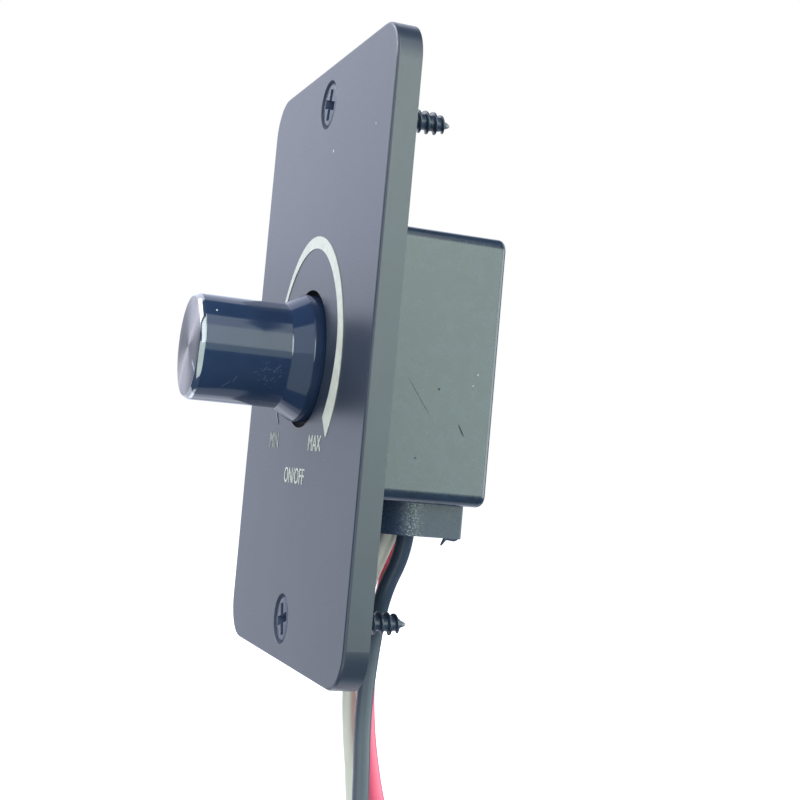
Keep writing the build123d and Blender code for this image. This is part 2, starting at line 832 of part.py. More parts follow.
def lead_path(colour):
    """A lead's line from its solder joint: straight runs joined by arcs as large as the runs allow."""
    x = lead_first_x - list(HANGS).index(colour) * lead_pitch
    points = [Vector(x, lead_row_y, lead_top), Vector(x, lead_row_y, outlet_bottom + lead_bend_above_outlet)]
    points += [Vector(px, lead_row_y + py, outlet_bottom + pz) for px, py, pz in HANGS[colour]]
    radii = []
    for before, corner, after in zip(points, points[1:], points[2:]):
        shorter = min((corner - before).length, (after - corner).length)
        turn = math.radians((corner - before).get_angle(after - corner))
        radii.append(lead_corner_share * shorter / math.tan(turn / 2))
    return FilletPolyline(*points, radius=radii), radii


def make_lead(colour):
    """One lead's insulation, as a plain tube along its line."""
    path, radii = lead_path(colour)
    tube = sweep(Plane(path @ 0, z_dir=path % 0) * Circle(lead_diameter / 2), path=path)
    section = math.pi * lead_diameter ** 2 / 4
    print(colour, "lead: length", round(path.length, 1), "radii", [round(r, 1) for r in radii],
          "volume over section times length", round(tube.volume / (section * path.length), 4))
    return tube


def make_lead_end(colour):
    """The bare twisted conductor at a lead's free end."""
    path, _ = lead_path(colour)
    return extrude(Plane(path @ 1, z_dir=path % 1) * Circle(lead_end_diameter / 2), lead_end_length)


NODES = {
    "faceplate": make_faceplate,
    "dial_arc": make_dial_arc,
    "mounting_screws": make_mounting_screws,
    "knob": make_knob,
    "knob_insert": make_knob_insert,
    "shaft": make_shaft,
    "pot_bush": make_pot_bush,
    "bush_nut": make_bush_nut,
    "lock_washer": make_lock_washer,
    "housing": make_housing,
    "carrier": make_carrier,
    "pot_frame": make_pot_frame,
    "pot_case": make_pot_case,
    "resistance_track": make_resistance_track,
    "wiper_rotor": make_wiper_rotor,
    "wiper_contact": make_wiper_contact,
    "pot_terminals": make_pot_terminals,
    "switch_case": make_switch_case,
    "switch_plunger": make_switch_plunger,
    "contact_ring": make_contact_ring,
    "return_spring": make_return_spring,
    "switch_terminals": make_switch_terminals,
    "circuit_board": make_circuit_board,
    "power_transistor": make_power_transistor,
    "transistor_legs": make_transistor_legs,
    "smoothing_capacitor": make_smoothing_capacitor,
    "control_chip": make_control_chip,
    "chip_legs": make_chip_legs,
    "flyback_diode": make_flyback_diode,
    "chip_resistors": make_chip_resistors,
    "solder_joints": make_solder_joints,
    "wire_outlet": make_wire_outlet,
}

os.makedirs("parts", exist_ok=True)
for node, make in NODES.items():
    made = make()
    shape = Compound(children=[Part(piece.wrapped) for piece in made]) if isinstance(made, list) else made
    export_step(shape, f"parts/{node}.step")
for colour in HANGS:
    export_step(make_lead(colour), f"parts/{colour}_lead.step")
    export_step(make_lead_end(colour), f"parts/{colour}_lead_end.step")
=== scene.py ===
# %% [markdown]
# # A rotary LED dimmer, dressed for its picture
# The part is a small wall dimmer: a black aluminium plate, a turned knob, a moulded box behind the plate
# and three hanging leads. The solids come from the CAD model, in metres, with the plate's back face at the
# origin and the knob pointing along -Y. This lesson keeps the solids that already have the right shape and
# gives them finishes, and builds anew what needs finer detail: the leads, the screws, the knob and
# the words.

from math import cos, pi, radians, sin

import bpy
from mathutils import Matrix, Quaternion, Vector


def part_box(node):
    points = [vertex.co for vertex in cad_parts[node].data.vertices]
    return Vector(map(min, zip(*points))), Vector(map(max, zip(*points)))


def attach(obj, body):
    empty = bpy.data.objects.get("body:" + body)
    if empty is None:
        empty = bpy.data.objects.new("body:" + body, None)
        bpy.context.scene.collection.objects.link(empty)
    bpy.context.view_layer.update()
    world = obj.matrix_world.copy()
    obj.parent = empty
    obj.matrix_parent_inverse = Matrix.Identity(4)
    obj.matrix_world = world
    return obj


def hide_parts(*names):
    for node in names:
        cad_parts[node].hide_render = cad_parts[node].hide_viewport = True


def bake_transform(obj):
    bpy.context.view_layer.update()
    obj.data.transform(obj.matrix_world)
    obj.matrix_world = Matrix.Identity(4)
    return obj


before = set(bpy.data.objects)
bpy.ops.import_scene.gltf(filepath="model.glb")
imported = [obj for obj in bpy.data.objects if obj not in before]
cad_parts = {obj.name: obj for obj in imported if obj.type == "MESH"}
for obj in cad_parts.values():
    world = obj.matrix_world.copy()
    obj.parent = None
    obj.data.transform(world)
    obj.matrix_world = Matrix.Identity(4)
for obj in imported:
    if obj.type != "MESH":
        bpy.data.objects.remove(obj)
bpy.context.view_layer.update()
scene = bpy.context.scene
mm = 0.001

# %% [markdown]
# ## Camera
# The picture was taken from the part's right, a little in front of the plate and slightly below its middle,
# with a short telephoto lens and the part leaning a few degrees. A camera can be aimed with a constraint,
# but turning an angle pair and a roll into one quaternion keeps every number readable. The small vertical
# shift is the picture's crop.

# %% Place the camera
camera_place = Vector((166.36, -51.22, -12.15)) * mm
camera_azimuth = radians(69.84)
camera_elevation = radians(-3.50)
camera_roll = radians(5.10)

lens = bpy.data.cameras.new("picture_lens")
lens.sensor_width = 36
lens.lens = 62.3
lens.shift_y = -0.025
lens.clip_start = 5 * mm
camera = bpy.data.objects.new("picture_camera", lens)
scene.collection.objects.link(camera)
towards_camera = Vector((
    sin(camera_azimuth) * cos(camera_elevation),
    -cos(camera_azimuth) * cos(camera_elevation),
    sin(camera_elevation),
))
camera.rotation_mode = "QUATERNION"
camera.rotation_quaternion = towards_camera.to_track_quat("Z", "Y") @ Quaternion((0, 0, 1), camera_roll)
camera.location = camera_place
scene.camera = camera
print("camera at", [round(v / mm, 1) for v in camera_place], "mm")

# %% [markdown]
# ## Leads
# Three stranded leads with PVC sleeves leave the box through the outlet block and hang beside each other. A
# lead could be a swept mesh, but a NURBS curve with a round bevel is one smooth line that keeps its length,
# so each lead is the route's own points, a few of them moved to follow the picture, as control
# points of such a curve. The spline's order is set after its points are there.

# %% Draw the three leads
sleeve_radius = 1.1 * mm
routes = {
    "black_lead": [
        (1.0, 12.25, -11.2), (1.0, 12.25, -17.3), (-0.6, 12.6, -23.4), (-3.8, 11.45, -29.0),
        (-4.3, 10.75, -36.5), (-4.2, 10.35, -45.0), (-4.2, 11.15, -55.0), (-4.0, 11.3, -68.0),
        (-3.8, 10.9, -83.0), (-4.1, 10.5, -98.0), (-4.0, 10.8, -112.0),
    ],
    "white_lead": [
        (-1.6, 12.25, -11.2), (-1.6, 12.25, -17.3), (-3.3, 10.8, -23.0), (-6.5, 10.15, -28.0),
        (-9.2, 10.0, -36.0), (-9.3, 10.2, -45.0), (-8.9, 11.9, -56.0), (-9.2, 13.1, -70.0),
        (-10.0, 11.9, -85.0), (-10.4, 10.5, -99.0), (-10.3, 10.0, -109.0),
    ],
    "red_lead": [
        (-4.2, 12.25, -11.2), (-4.2, 12.25, -17.3), (-5.6, 12.9, -23.0), (-6.95, 12.95, -29.0),
        (-6.9, 11.35, -36.0), (-6.85, 11.65, -45.0), (-6.6, 13.4, -54.0), (-6.65, 16.4, -63.0),
        (-6.9, 17.4, -75.0), (-7.2, 16.8, -88.0), (-7.3, 16.0, -100.0), (-7.2, 15.6, -111.0),
    ],
}


def draw_round(name, route, radius, steps_round, steps_along):
    """A round NURBS curve on (x, y, z) points in mm. A fourth value is the share of the radius there."""
    curve = bpy.data.curves.new(name, "CURVE")
    curve.dimensions = "3D"
    curve.bevel_depth = radius
    curve.bevel_resolution = steps_round
    curve.resolution_u = steps_along
    curve.use_fill_caps = True
    spline = curve.splines.new("NURBS")
    spline.points.add(len(route) - 1)
    for point, (x, y, z, *share) in zip(spline.points, route):
        point.co = (x * mm, y * mm, z * mm, 1)
        point.radius = share[0] if share else 1.0
    spline.order_u = 3
    spline.use_endpoint_u = True
    drawn = bpy.data.objects.new(name, curve)
    scene.collection.objects.link(drawn)
    return drawn


leads = {}
for name, route in routes.items():
    leads[name] = draw_round(name + "_sleeve", route, sleeve_radius, steps_round=6, steps_along=16)
for name, lead in leads.items():
    print(name, "control points:", len(lead.data.splines[0].points))

# %% [markdown]
# ## Helpers for nodes and finishes
# Every finish and every Geometry Nodes tree below is made of nodes. One small function adds a node, sets
# what is fixed and links what is not. Colours are written as sRGB hex values, as a paint chart gives them,
# and turned to the linear values that the renderer works in. A pattern's scale is one over its real size.

# %% Node and colour helpers
def linear(code):
    """An sRGB hex colour as linear RGBA."""
    shares = [int(code[i:i + 2], 16) / 255 for i in (1, 3, 5)]
    return (*[s / 12.92 if s <= 0.04045 else ((s + 0.055) / 1.055) ** 2.4 for s in shares], 1.0)


def per(size):
    """How many times a pattern of this size, in mm, fits in a metre."""
    return 1 / (size * mm)


def add(tree, kind, inputs=None, **settings):
    """Adds a node: settings are its properties, inputs are values, sockets to link, or lists of sockets."""
    made = tree.nodes.new(kind)
    for name, value in settings.items():
        setattr(made, name, value)
    for key, value in (inputs or {}).items():
        for each in value if isinstance(value, list) else [value]:
            if isinstance(each, bpy.types.NodeSocket):
                tree.links.new(each, made.inputs[key])
            else:
                made.inputs[key].default_value = each
    return made


def start_finish(name, **constants):
    """A new material: its tree, its shader with the constants set, and the Object coordinates."""
    finish = bpy.data.materials.new(name)
    finish.use_nodes = True
    tree = finish.node_tree
    shader = tree.nodes["Principled BSDF"]
    for socket, value in constants.items():
        shader.inputs[socket.replace("_", " ")].default_value = value
    place = add(tree, "ShaderNodeTexCoord").outputs["Object"]
    print("finish:", name)
    return finish, tree, shader, place


def mottle(tree, shader, place, deep, pale, patch, rough, grain, relief):
    """Colour that drifts over patches, roughness and relief that follow a finer grain. Sizes in mm."""
    drift = add(tree, "ShaderNodeTexNoise", {"Vector": place, "Scale": per(patch), "Detail": 4.0})
    share = add(tree, "ShaderNodeMapRange", {"Value": drift.outputs["Fac"], "From Min": 0.3, "From Max": 0.7})
    colour = add(tree, "ShaderNodeMix", {
        0: share.outputs[0], 6: linear(deep), 7: linear(pale)}, data_type="RGBA")
    tree.links.new(colour.outputs[2], shader.inputs["Base Color"])
    fine = add(tree, "ShaderNodeTexNoise", {"Vector": place, "Scale": per(grain), "Detail": 2.0})
    gloss = add(tree, "ShaderNodeMapRange", {
        "Value": fine.outputs["Fac"], "From Min": 0.3, "From Max": 0.7,
        "To Min": rough[0], "To Max": rough[1]})
    tree.links.new(gloss.outputs[0], shader.inputs["Roughness"])
    bump = add(tree, "ShaderNodeBump", {
        "Height": fine.outputs["Fac"], "Strength": 0.5, "Distance": relief * mm})
    tree.links.new(bump.outputs[0], shader.inputs["Normal"])
    return colour.outputs[2]


def mark(tree, shader, under, share, colour):
    """Lays a second colour over the first where share is above 0."""
    mixed = add(tree, "ShaderNodeMix", {0: share, 6: under, 7: linear(colour)}, data_type="RGBA")
    tree.links.new(mixed.outputs[2], shader.inputs["Base Color"])
    return mixed.outputs[2]


def gloss_mark(tree, shader, share, rough):
    """Changes the roughness where share is above 0."""
    before = shader.inputs["Roughness"].links[0].from_socket
    mixed = add(tree, "ShaderNodeMix", {0: share, 2: before, 3: rough})
    tree.links.new(mixed.outputs[0], shader.inputs["Roughness"])


def specks(tree, place, cell, radius, share):
    """A mask of round specks, one in some of the cells of a scattered grid. Sizes in mm."""
    cells = add(tree, "ShaderNodeTexVoronoi", {"Vector": place, "Scale": per(cell)})
    near = add(tree, "ShaderNodeMath", {
        0: cells.outputs["Distance"], 1: radius / cell}, operation="LESS_THAN")
    picked = add(tree, "ShaderNodeSeparateColor", {"Color": cells.outputs["Color"]})
    kept = add(tree, "ShaderNodeMath", {0: picked.outputs[0], 1: share}, operation="LESS_THAN")
    both = add(tree, "ShaderNodeMath", {0: near.outputs[0], 1: kept.outputs[0]}, operation="MULTIPLY")
    return both.outputs[0]


def streak(tree, place, start, end, facing, width):
    """A mask of one thin mark from start to end, on a surface that faces a direction. Sizes in mm."""
    along = (Vector(end) - Vector(start)).normalized()
    across = Vector(facing).cross(along).normalized()
    turned = Matrix((along, across, along.cross(across)))
    middle = turned @ (Vector(start) + Vector(end)) * mm / 2
    half = (Vector(end) - Vector(start)).length * mm / 2
    local = add(tree, "ShaderNodeMapping", {
        "Vector": place, "Location": -middle, "Rotation": turned.to_euler()})
    skin = 0.6 * mm
    masks = []
    for axis, reach in (("X", half), ("Y", width * mm / 2), ("Z", skin)):
        offset = add(tree, "ShaderNodeSeparateXYZ", {0: local.outputs[0]}).outputs[axis]
        away = add(tree, "ShaderNodeMath", {0: offset}, operation="ABSOLUTE")
        fade = add(tree, "ShaderNodeMapRange", {
            "Value": away.outputs[0], "From Min": 0.5 * reach, "From Max": reach,
            "To Min": 1.0, "To Max": 0.0})
        masks.append(fade.outputs[0])
    flat = add(tree, "ShaderNodeMath", {0: masks[0], 1: masks[1]}, operation="MULTIPLY")
    return add(tree, "ShaderNodeMath", {0: flat.outputs[0], 1: masks[2]}, operation="MULTIPLY").outputs[0]


# %% [markdown]
# ## PVC sleeves
# Lead sleeves are PVC, extruded round the strands: smooth, slightly waxy, with a faint drift of tone along
# the lead and a shallow ripple where the strands press through. One plain colour would do for a drawing,
# but the drift is what makes them look real. Lower down they get a third tone: painted light, lighter on
# the black and red leads, where they catch more light below the plate.

# %% Sleeve finishes
def sleeve_finish(name, deep, pale, lit_tone):
    finish, tree, shader, place = start_finish(name, IOR=1.53, Specular_IOR_Level=0.52)
    # extruded PVC shows slow changes of tone and a fine skin that softens its highlights; the lower length
    # gets a third tone, painted light where the lead catches more light below the plate
    under = mottle(tree, shader, place, deep, pale, patch=7.0, rough=(0.28, 0.38), grain=0.6, relief=0.02)
    height = add(tree, "ShaderNodeSeparateXYZ", {0: place}).outputs["Z"]
    lit_lower_length = add(tree, "ShaderNodeMapRange", {
        "Value": height, "From Min": -48 * mm, "From Max": -32 * mm, "To Min": 0.8, "To Max": 0.0})
    mark(tree, shader, under, lit_lower_length.outputs[0], lit_tone)
    return finish


# the third colour of each lead is the painted light on its lower length
sleeve_finishes = {
    "black_lead": sleeve_finish("extruded_pvc_black", "#2c3748", "#374353", "#565d64"),
    "red_lead": sleeve_finish("extruded_pvc_red", "#d63f62", "#e25373", "#f26886"),
    "white_lead": sleeve_finish("extruded_pvc_white", "#d8d6c9", "#e4e2d6", "#dad8cb"),
}
for name, lead in leads.items():
    lead.data.materials.append(sleeve_finishes[name])

# %% [markdown]
# ## Bare lead ends
# Each lead ends in a stripped length of tinned copper strands, twisted together: six round a middle one.
# One strand is a helix, so a Geometry Nodes tree draws one, sweeps a circle along it, sets it round the
# axis six times and adds the straight middle strand. The tree's inputs are the real sizes.

# %% Tinned strand finish
strand_finish, tree, shader, place = start_finish("drawn_tinned_copper", Metallic=1.0)
# drawn wire dipped in tin: a soft grey white gleam with fine dull patches
mottle(tree, shader, place, "#b9b6ae", "#dad8d2", patch=0.8, rough=(0.28, 0.42), grain=0.2, relief=0.01)


# %% A tree for the twisted strands
def start_tree(name, sizes):
    """A Geometry Nodes tree with a geometry input and output and the named inputs."""
    tree = bpy.data.node_groups.new(name, "GeometryNodeTree")
    tree.interface.new_socket("Geometry", in_out="INPUT", socket_type="NodeSocketGeometry")
    tree.interface.new_socket("Geometry", in_out="OUTPUT", socket_type="NodeSocketGeometry")
    for size, kind in sizes.items():
        tree.interface.new_socket(size, in_out="INPUT", socket_type="NodeSocket" + kind)
    given = add(tree, "NodeGroupInput").outputs
    return tree, given


def end_tree(tree, geometry, material):
    """Makes instances real, gives them their finish and ends the tree."""
    real = add(tree, "GeometryNodeRealizeInstances", {"Geometry": geometry})
    dressed = add(tree, "GeometryNodeSetMaterial", {"Geometry": real.outputs[0], "Material": material})
    add(tree, "NodeGroupOutput", {0: dressed.outputs[0]})
    print(tree.name, "nodes:", len(tree.nodes))


def plain_mesh(holder):
    """The mesh that an object comes to, once its modifiers and curves are worked out. The object goes."""
    evaluated = holder.evaluated_get(bpy.context.evaluated_depsgraph_get())
    mesh = bpy.data.meshes.new_from_object(evaluated)
    bpy.data.objects.remove(holder)
    return mesh


def grow(name, tree, values, start=None):
    """Runs a tree on an object and returns the plain mesh that it makes."""
    start = start or bpy.data.meshes.new(name + "_start")
    holder = bpy.data.objects.new(name + "_holder", start)
    scene.collection.objects.link(holder)
    modifier = holder.modifiers.new("tree", "NODES")
    modifier.node_group = tree
    for item in tree.interface.items_tree:
        if item.in_out == "INPUT" and item.name in values:
            modifier[item.identifier] = values[item.name]
    mesh = plain_mesh(holder)
    mesh.name = name
    return mesh


strand_tree, given = start_tree("twisted_strands", {
    "Bare length": "Float", "Strand radius": "Float", "Twist length": "Float", "Finish": "Material"})
axis_end = add(strand_tree, "ShaderNodeCombineXYZ", {"Z": given["Bare length"]})
axis_line = add(strand_tree, "GeometryNodeCurvePrimitiveLine", {"End": axis_end.outputs[0]})
axis_points = add(strand_tree, "GeometryNodeResampleCurve", {"Curve": axis_line.outputs[0], "Count": 25})
along = add(strand_tree, "GeometryNodeSplineParameter").outputs["Length"]
turns = add(strand_tree, "ShaderNodeMath", {0: along, 1: given["Twist length"]}, operation="DIVIDE")
angle = add(strand_tree, "ShaderNodeMath", {0: turns.outputs[0], 1: 2 * pi}, operation="MULTIPLY").outputs[0]
lay = add(strand_tree, "ShaderNodeMath", {0: given["Strand radius"], 1: 2.0}, operation="MULTIPLY").outputs[0]
cosine = add(strand_tree, "ShaderNodeMath", {0: angle}, operation="COSINE").outputs[0]
sine = add(strand_tree, "ShaderNodeMath", {0: angle}, operation="SINE").outputs[0]
across = add(strand_tree, "ShaderNodeMath", {0: cosine, 1: lay}, operation="MULTIPLY").outputs[0]
beside = add(strand_tree, "ShaderNodeMath", {0: sine, 1: lay}, operation="MULTIPLY").outputs[0]
helix_place = add(strand_tree, "ShaderNodeCombineXYZ", {"X": across, "Y": beside, "Z": along})
helix = add(strand_tree, "GeometryNodeSetPosition", {
    "Geometry": axis_points.outputs[0], "Position": helix_place.outputs[0]})
round_wire = add(strand_tree, "GeometryNodeCurvePrimitiveCircle", {
    "Resolution": 12, "Radius": given["Strand radius"]})
outer = add(strand_tree, "GeometryNodeCurveToMesh", {
    "Curve": helix.outputs[0], "Profile Curve": round_wire.outputs[0], "Fill Caps": True})
middle = add(strand_tree, "GeometryNodeCurveToMesh", {
    "Curve": axis_points.outputs[0], "Profile Curve": round_wire.outputs[0], "Fill Caps": True})
six = add(strand_tree, "GeometryNodeMeshLine", {"Count": 6, "Offset": (0, 0, 0)})
number = add(strand_tree, "GeometryNodeInputIndex").outputs[0]
sixth = add(strand_tree, "ShaderNodeMath", {0: number, 1: pi / 3}, operation="MULTIPLY")
spread = add(strand_tree, "ShaderNodeCombineXYZ", {"Z": sixth.outputs[0]})
ring = add(strand_tree, "GeometryNodeInstanceOnPoints", {
    "Points": six.outputs[0], "Instance": outer.outputs[0], "Rotation": spread.outputs[0]})
bundle = add(strand_tree, "GeometryNodeJoinGeometry", {0: [ring.outputs[0], middle.outputs[0]]})
end_tree(strand_tree, bundle.outputs[0], given["Finish"])

# %% Grow the bare ends at the ends of the leads
def show(name, mesh, stands_for=None, body="base"):
    """Sets a finished mesh in the scene, with its body and the solid that it stands for."""
    piece = bpy.data.objects.new(name, mesh)
    scene.collection.objects.link(piece)
    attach(piece, body)
    if stands_for:
        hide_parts(stands_for)
    return piece


bare_length = 5.9 * mm
for name, route in routes.items():
    mesh = grow(name + "_strands", strand_tree, {
        "Bare length": bare_length, "Strand radius": 0.2 * mm, "Twist length": 9 * mm,
        "Finish": strand_finish})
    tip = Vector(route[-1]) * mm
    heading = (Vector(route[-1]) - Vector(route[-2])).normalized()
    mesh.transform(Matrix.Translation(tip) @ heading.to_track_quat("Z", "Y").to_matrix().to_4x4())
    show(name + "_strands", mesh, name + "_end")
    print(name, "strand faces:", len(mesh.polygons))

# %% Leads ride on the fixed body
for name, lead in leads.items():
    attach(lead, "base")
    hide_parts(name)

# %% [markdown]
# ## Mounting screws
# Two black self-tapping screws hold the plate: a countersunk head with a cross recess, a short neck and a
# coarse deep thread to a point. The body is a turned shape. The thread follows a helix, and both screws are
# the same, so a Geometry Nodes tree cuts the recess, sweeps the thread's section along the helix and sets
# the screw in both holes, each turned as far as it was driven.

# %% A turning helper: a profile swept round the Y axis
def turn(name, profile, steps):
    """A turned mesh from (radius, y) points in mm, with a UV map: along the profile, then round the axis."""
    rings, vertices = [], []
    for radius, y in profile:
        count = 1 if radius == 0 else steps
        rings.append(range(len(vertices), len(vertices) + count))
        for i in range(count):
            turned = 2 * pi * i / steps
            vertices.append((radius * mm * cos(turned), y * mm, radius * mm * sin(turned)))
    faces, corners = [], []
    for step, (first, second) in enumerate(zip(rings, rings[1:])):
        for i in range(steps):
            j = (i + 1) % steps
            around = [(first[i % len(first)], step, i), (first[j % len(first)], step, i + 1),
                      (second[j % len(second)], step + 1, i + 1), (second[i % len(second)], step + 1, i)]
            if len(first) == 1:
                around.pop(1)
            if len(second) == 1:
                around.pop(2)
            around.reverse()
            faces.append([vertex for vertex, _, _ in around])
            corners.extend((u / (len(profile) - 1), v / steps) for _, u, v in around)
    mesh = bpy.data.meshes.new(name)
    mesh.from_pydata(vertices, [], faces)
    layer = mesh.uv_layers.new(name="turning")
    for loop, corner in zip(layer.data, corners):
        loop.uv = corner
    return mesh


# %% The turned body of a screw
hole_height = 32.35
head_face, neck_end, point_end = -2.85, 0.25, 13.55
neck_radius, core_radius, crest_radius = 1.15, 1.02, 1.5
screw_profile = [
    (0, head_face), (2.45, head_face), (2.62, head_face + 0.06), (2.85, head_face + 0.22),
    (2.92, head_face + 0.34), (2.75, head_face + 0.52), (neck_radius, -1.0), (neck_radius, neck_end),
    (core_radius, neck_end + 0.3), (core_radius, 11.4), (0.86, 12.3), (0.62, 12.72), (0.46, 12.85),
    (0.40, 13.12), (0.27, 13.38), (0.14, 13.51), (0, point_end),
]
screw_body = turn("screw_body", screw_profile, 48)
print("screw body faces:", len(screw_body.polygons))

# %% Black screw finish
screw_finish, tree, shader, place = start_finish("black_oxide_steel", Specular_IOR_Level=0.6)
# case-hardened steel blackened in a bath: blue black with a low sheen, bright where the point was pinched
# off, and painted shade in the recess and round the head's edge: a dull blue grey with no sheen
under = mottle(
    tree, shader, place, "#232c39", "#344154", patch=1.5, rough=(0.22, 0.34), grain=0.3, relief=0.01)
depth = add(tree, "ShaderNodeSeparateXYZ", {0: place}).outputs["Y"]
worn = add(tree, "ShaderNodeMapRange", {
    "Value": depth, "From Min": 12.7 * mm, "From Max": 13.1 * mm, "To Min": 0.0, "To Max": 0.8})
under = mark(tree, shader, under, worn.outputs[0], "#7f8486")
# painted shade: a dull blue grey with no sheen in the recess, round the head's edge and on the neck in the
# plate
sunk = add(tree, "ShaderNodeMapRange", {
    "Value": depth, "From Min": -2.84 * mm, "From Max": -2.7 * mm, "To Min": 0.0, "To Max": 1.0})
in_plate = add(tree, "ShaderNodeMath", {0: depth, 1: 0.0}, operation="LESS_THAN")
recess_shade = add(tree, "ShaderNodeMath", {0: sunk.outputs[0], 1: in_plate.outputs[0]}, operation="MULTIPLY")
mark(tree, shader, under, recess_shade.outputs[0], "#3a4661")
gloss_mark(tree, shader, recess_shade.outputs[0], 0.9)

# %% A tree for a threaded screw in two holes
screw_tree, given = start_tree("self_tapping_screws", {
    "Pitch": "Float", "Core radius": "Float", "Crest height": "Float", "First crest": "Float",
    "Thread start": "Float", "Taper start": "Float", "Thread end": "Float", "Recess span": "Float",
    "Recess width": "Float", "Head face": "Float", "Hole spacing": "Float", "Finish": "Material"})
line_start = add(screw_tree, "ShaderNodeCombineXYZ", {"Y": given["Thread start"]})
line_end = add(screw_tree, "ShaderNodeCombineXYZ", {"Y": given["Thread end"]})
axis_line = add(screw_tree, "GeometryNodeCurvePrimitiveLine", {
    "Start": line_start.outputs[0], "End": line_end.outputs[0]})
axis_points = add(screw_tree, "GeometryNodeResampleCurve", {"Curve": axis_line.outputs[0], "Count": 420})
here = add(screw_tree, "GeometryNodeInputPosition").outputs[0]
depth = add(screw_tree, "ShaderNodeSeparateXYZ", {0: here}).outputs["Y"]
run = add(screw_tree, "ShaderNodeMath", {0: given["First crest"], 1: depth}, operation="SUBTRACT")
turns = add(screw_tree, "ShaderNodeMath", {0: run.outputs[0], 1: given["Pitch"]}, operation="DIVIDE")
angle = add(screw_tree, "ShaderNodeMath", {0: turns.outputs[0], 1: 2 * pi}, operation="MULTIPLY").outputs[0]
cosine = add(screw_tree, "ShaderNodeMath", {0: angle}, operation="COSINE").outputs[0]
sine = add(screw_tree, "ShaderNodeMath", {0: angle}, operation="SINE").outputs[0]
outwards = add(screw_tree, "ShaderNodeCombineXYZ", {"X": cosine, "Z": sine}).outputs[0]
taper = add(screw_tree, "ShaderNodeMapRange", {
    "Value": depth, "From Min": given["Taper start"], "From Max": given["Thread end"],
    "To Min": 1.0, "To Max": 0.72})
reach = add(screw_tree, "ShaderNodeMath", {
    0: taper.outputs[0], 1: given["Core radius"]}, operation="MULTIPLY")
flat_place = add(screw_tree, "ShaderNodeVectorMath", {
    0: outwards, "Scale": reach.outputs[0]}, operation="SCALE")
deep_place = add(screw_tree, "ShaderNodeCombineXYZ", {"Y": depth})
helix_place = add(screw_tree, "ShaderNodeVectorMath", {
    0: flat_place.outputs[0], 1: deep_place.outputs[0]}, operation="ADD")
facing = add(screw_tree, "GeometryNodeSetCurveNormal", {
    "Curve": axis_points.outputs[0], "Normal": outwards}, mode="FREE")
helix = add(screw_tree, "GeometryNodeSetPosition", {
    "Geometry": facing.outputs[0], "Position": helix_place.outputs[0]})
crest_width = add(screw_tree, "ShaderNodeMath", {0: given["Pitch"], 1: 0.2}, operation="MULTIPLY")
root_width = add(screw_tree, "ShaderNodeMath", {0: given["Pitch"], 1: 0.76}, operation="MULTIPLY")
section_height = add(screw_tree, "ShaderNodeMath", {0: given["Crest height"], 1: 2.0}, operation="MULTIPLY")
section = add(screw_tree, "GeometryNodeCurvePrimitiveQuadrilateral", {
    "Height": section_height.outputs[0], "Bottom Width": root_width.outputs[0],
    "Top Width": crest_width.outputs[0], "Offset": 0.0}, mode="TRAPEZOID")
rounding = add(screw_tree, "ShaderNodeMath", {0: crest_width.outputs[0], 1: 0.45}, operation="MULTIPLY")
rounded = add(screw_tree, "GeometryNodeFilletCurve", {
    "Curve": section.outputs[0], "Radius": rounding.outputs[0], "Count": 3}, mode="POLY")
upright = add(screw_tree, "GeometryNodeTransform", {
    "Geometry": rounded.outputs[0], "Rotation": (0, 0, -pi / 2)})
thread = add(screw_tree, "GeometryNodeCurveToMesh", {
    "Curve": helix.outputs[0], "Profile Curve": upright.outputs[0], "Scale": taper.outputs[0],
    "Fill Caps": True})
half_diagonal = add(screw_tree, "ShaderNodeMath", {
    0: given["Recess span"], 1: 2 ** -0.5}, operation="MULTIPLY")
end_diagonal = add(screw_tree, "ShaderNodeMath", {0: half_diagonal.outputs[0], 1: 0.35}, operation="MULTIPLY")
wing = add(screw_tree, "GeometryNodeMeshCone", {
    "Vertices": 4, "Radius Top": end_diagonal.outputs[0], "Radius Bottom": half_diagonal.outputs[0],
    "Depth": 2.2 * mm})
squared = add(screw_tree, "GeometryNodeTransform", {"Geometry": wing.outputs[0], "Rotation": (0, 0, pi / 4)})
thinness = add(screw_tree, "ShaderNodeMath", {
    0: given["Recess width"], 1: given["Recess span"]}, operation="DIVIDE")
wide = add(screw_tree, "ShaderNodeCombineXYZ", {"X": 1.0, "Y": thinness.outputs[0], "Z": 1.0})
tall = add(screw_tree, "ShaderNodeCombineXYZ", {"X": thinness.outputs[0], "Y": 1.0, "Z": 1.0})
mouth = add(screw_tree, "ShaderNodeCombineXYZ", {"Y": given["Head face"]})
wings = []
for stretch in (wide, tall):
    thin = add(screw_tree, "GeometryNodeTransform", {
        "Geometry": squared.outputs[0], "Scale": stretch.outputs[0]})
    sunk_wing = add(screw_tree, "GeometryNodeTransform", {
        "Geometry": thin.outputs[0], "Translation": mouth.outputs[0], "Rotation": (-pi / 2, 0, 0)})
    wings.append(sunk_wing.outputs[0])
cross = add(screw_tree, "GeometryNodeMeshBoolean", {"Mesh 2": wings}, operation="UNION", solver="EXACT")
recessed = add(screw_tree, "GeometryNodeMeshBoolean", {
    "Mesh 1": given["Geometry"], "Mesh 2": cross.outputs[0]}, operation="DIFFERENCE", solver="EXACT")
screw = add(screw_tree, "GeometryNodeJoinGeometry", {0: [recessed.outputs[0], thread.outputs[0]]})
first_hole = add(screw_tree, "ShaderNodeMath", {0: given["Hole spacing"], 1: -0.5}, operation="MULTIPLY")
first_place = add(screw_tree, "ShaderNodeCombineXYZ", {"Z": first_hole.outputs[0]})
hole_step = add(screw_tree, "ShaderNodeCombineXYZ", {"Z": given["Hole spacing"]})
holes = add(screw_tree, "GeometryNodeMeshLine", {
    "Count": 2, "Start Location": first_place.outputs[0], "Offset": hole_step.outputs[0]})
number = add(screw_tree, "GeometryNodeInputIndex").outputs[0]
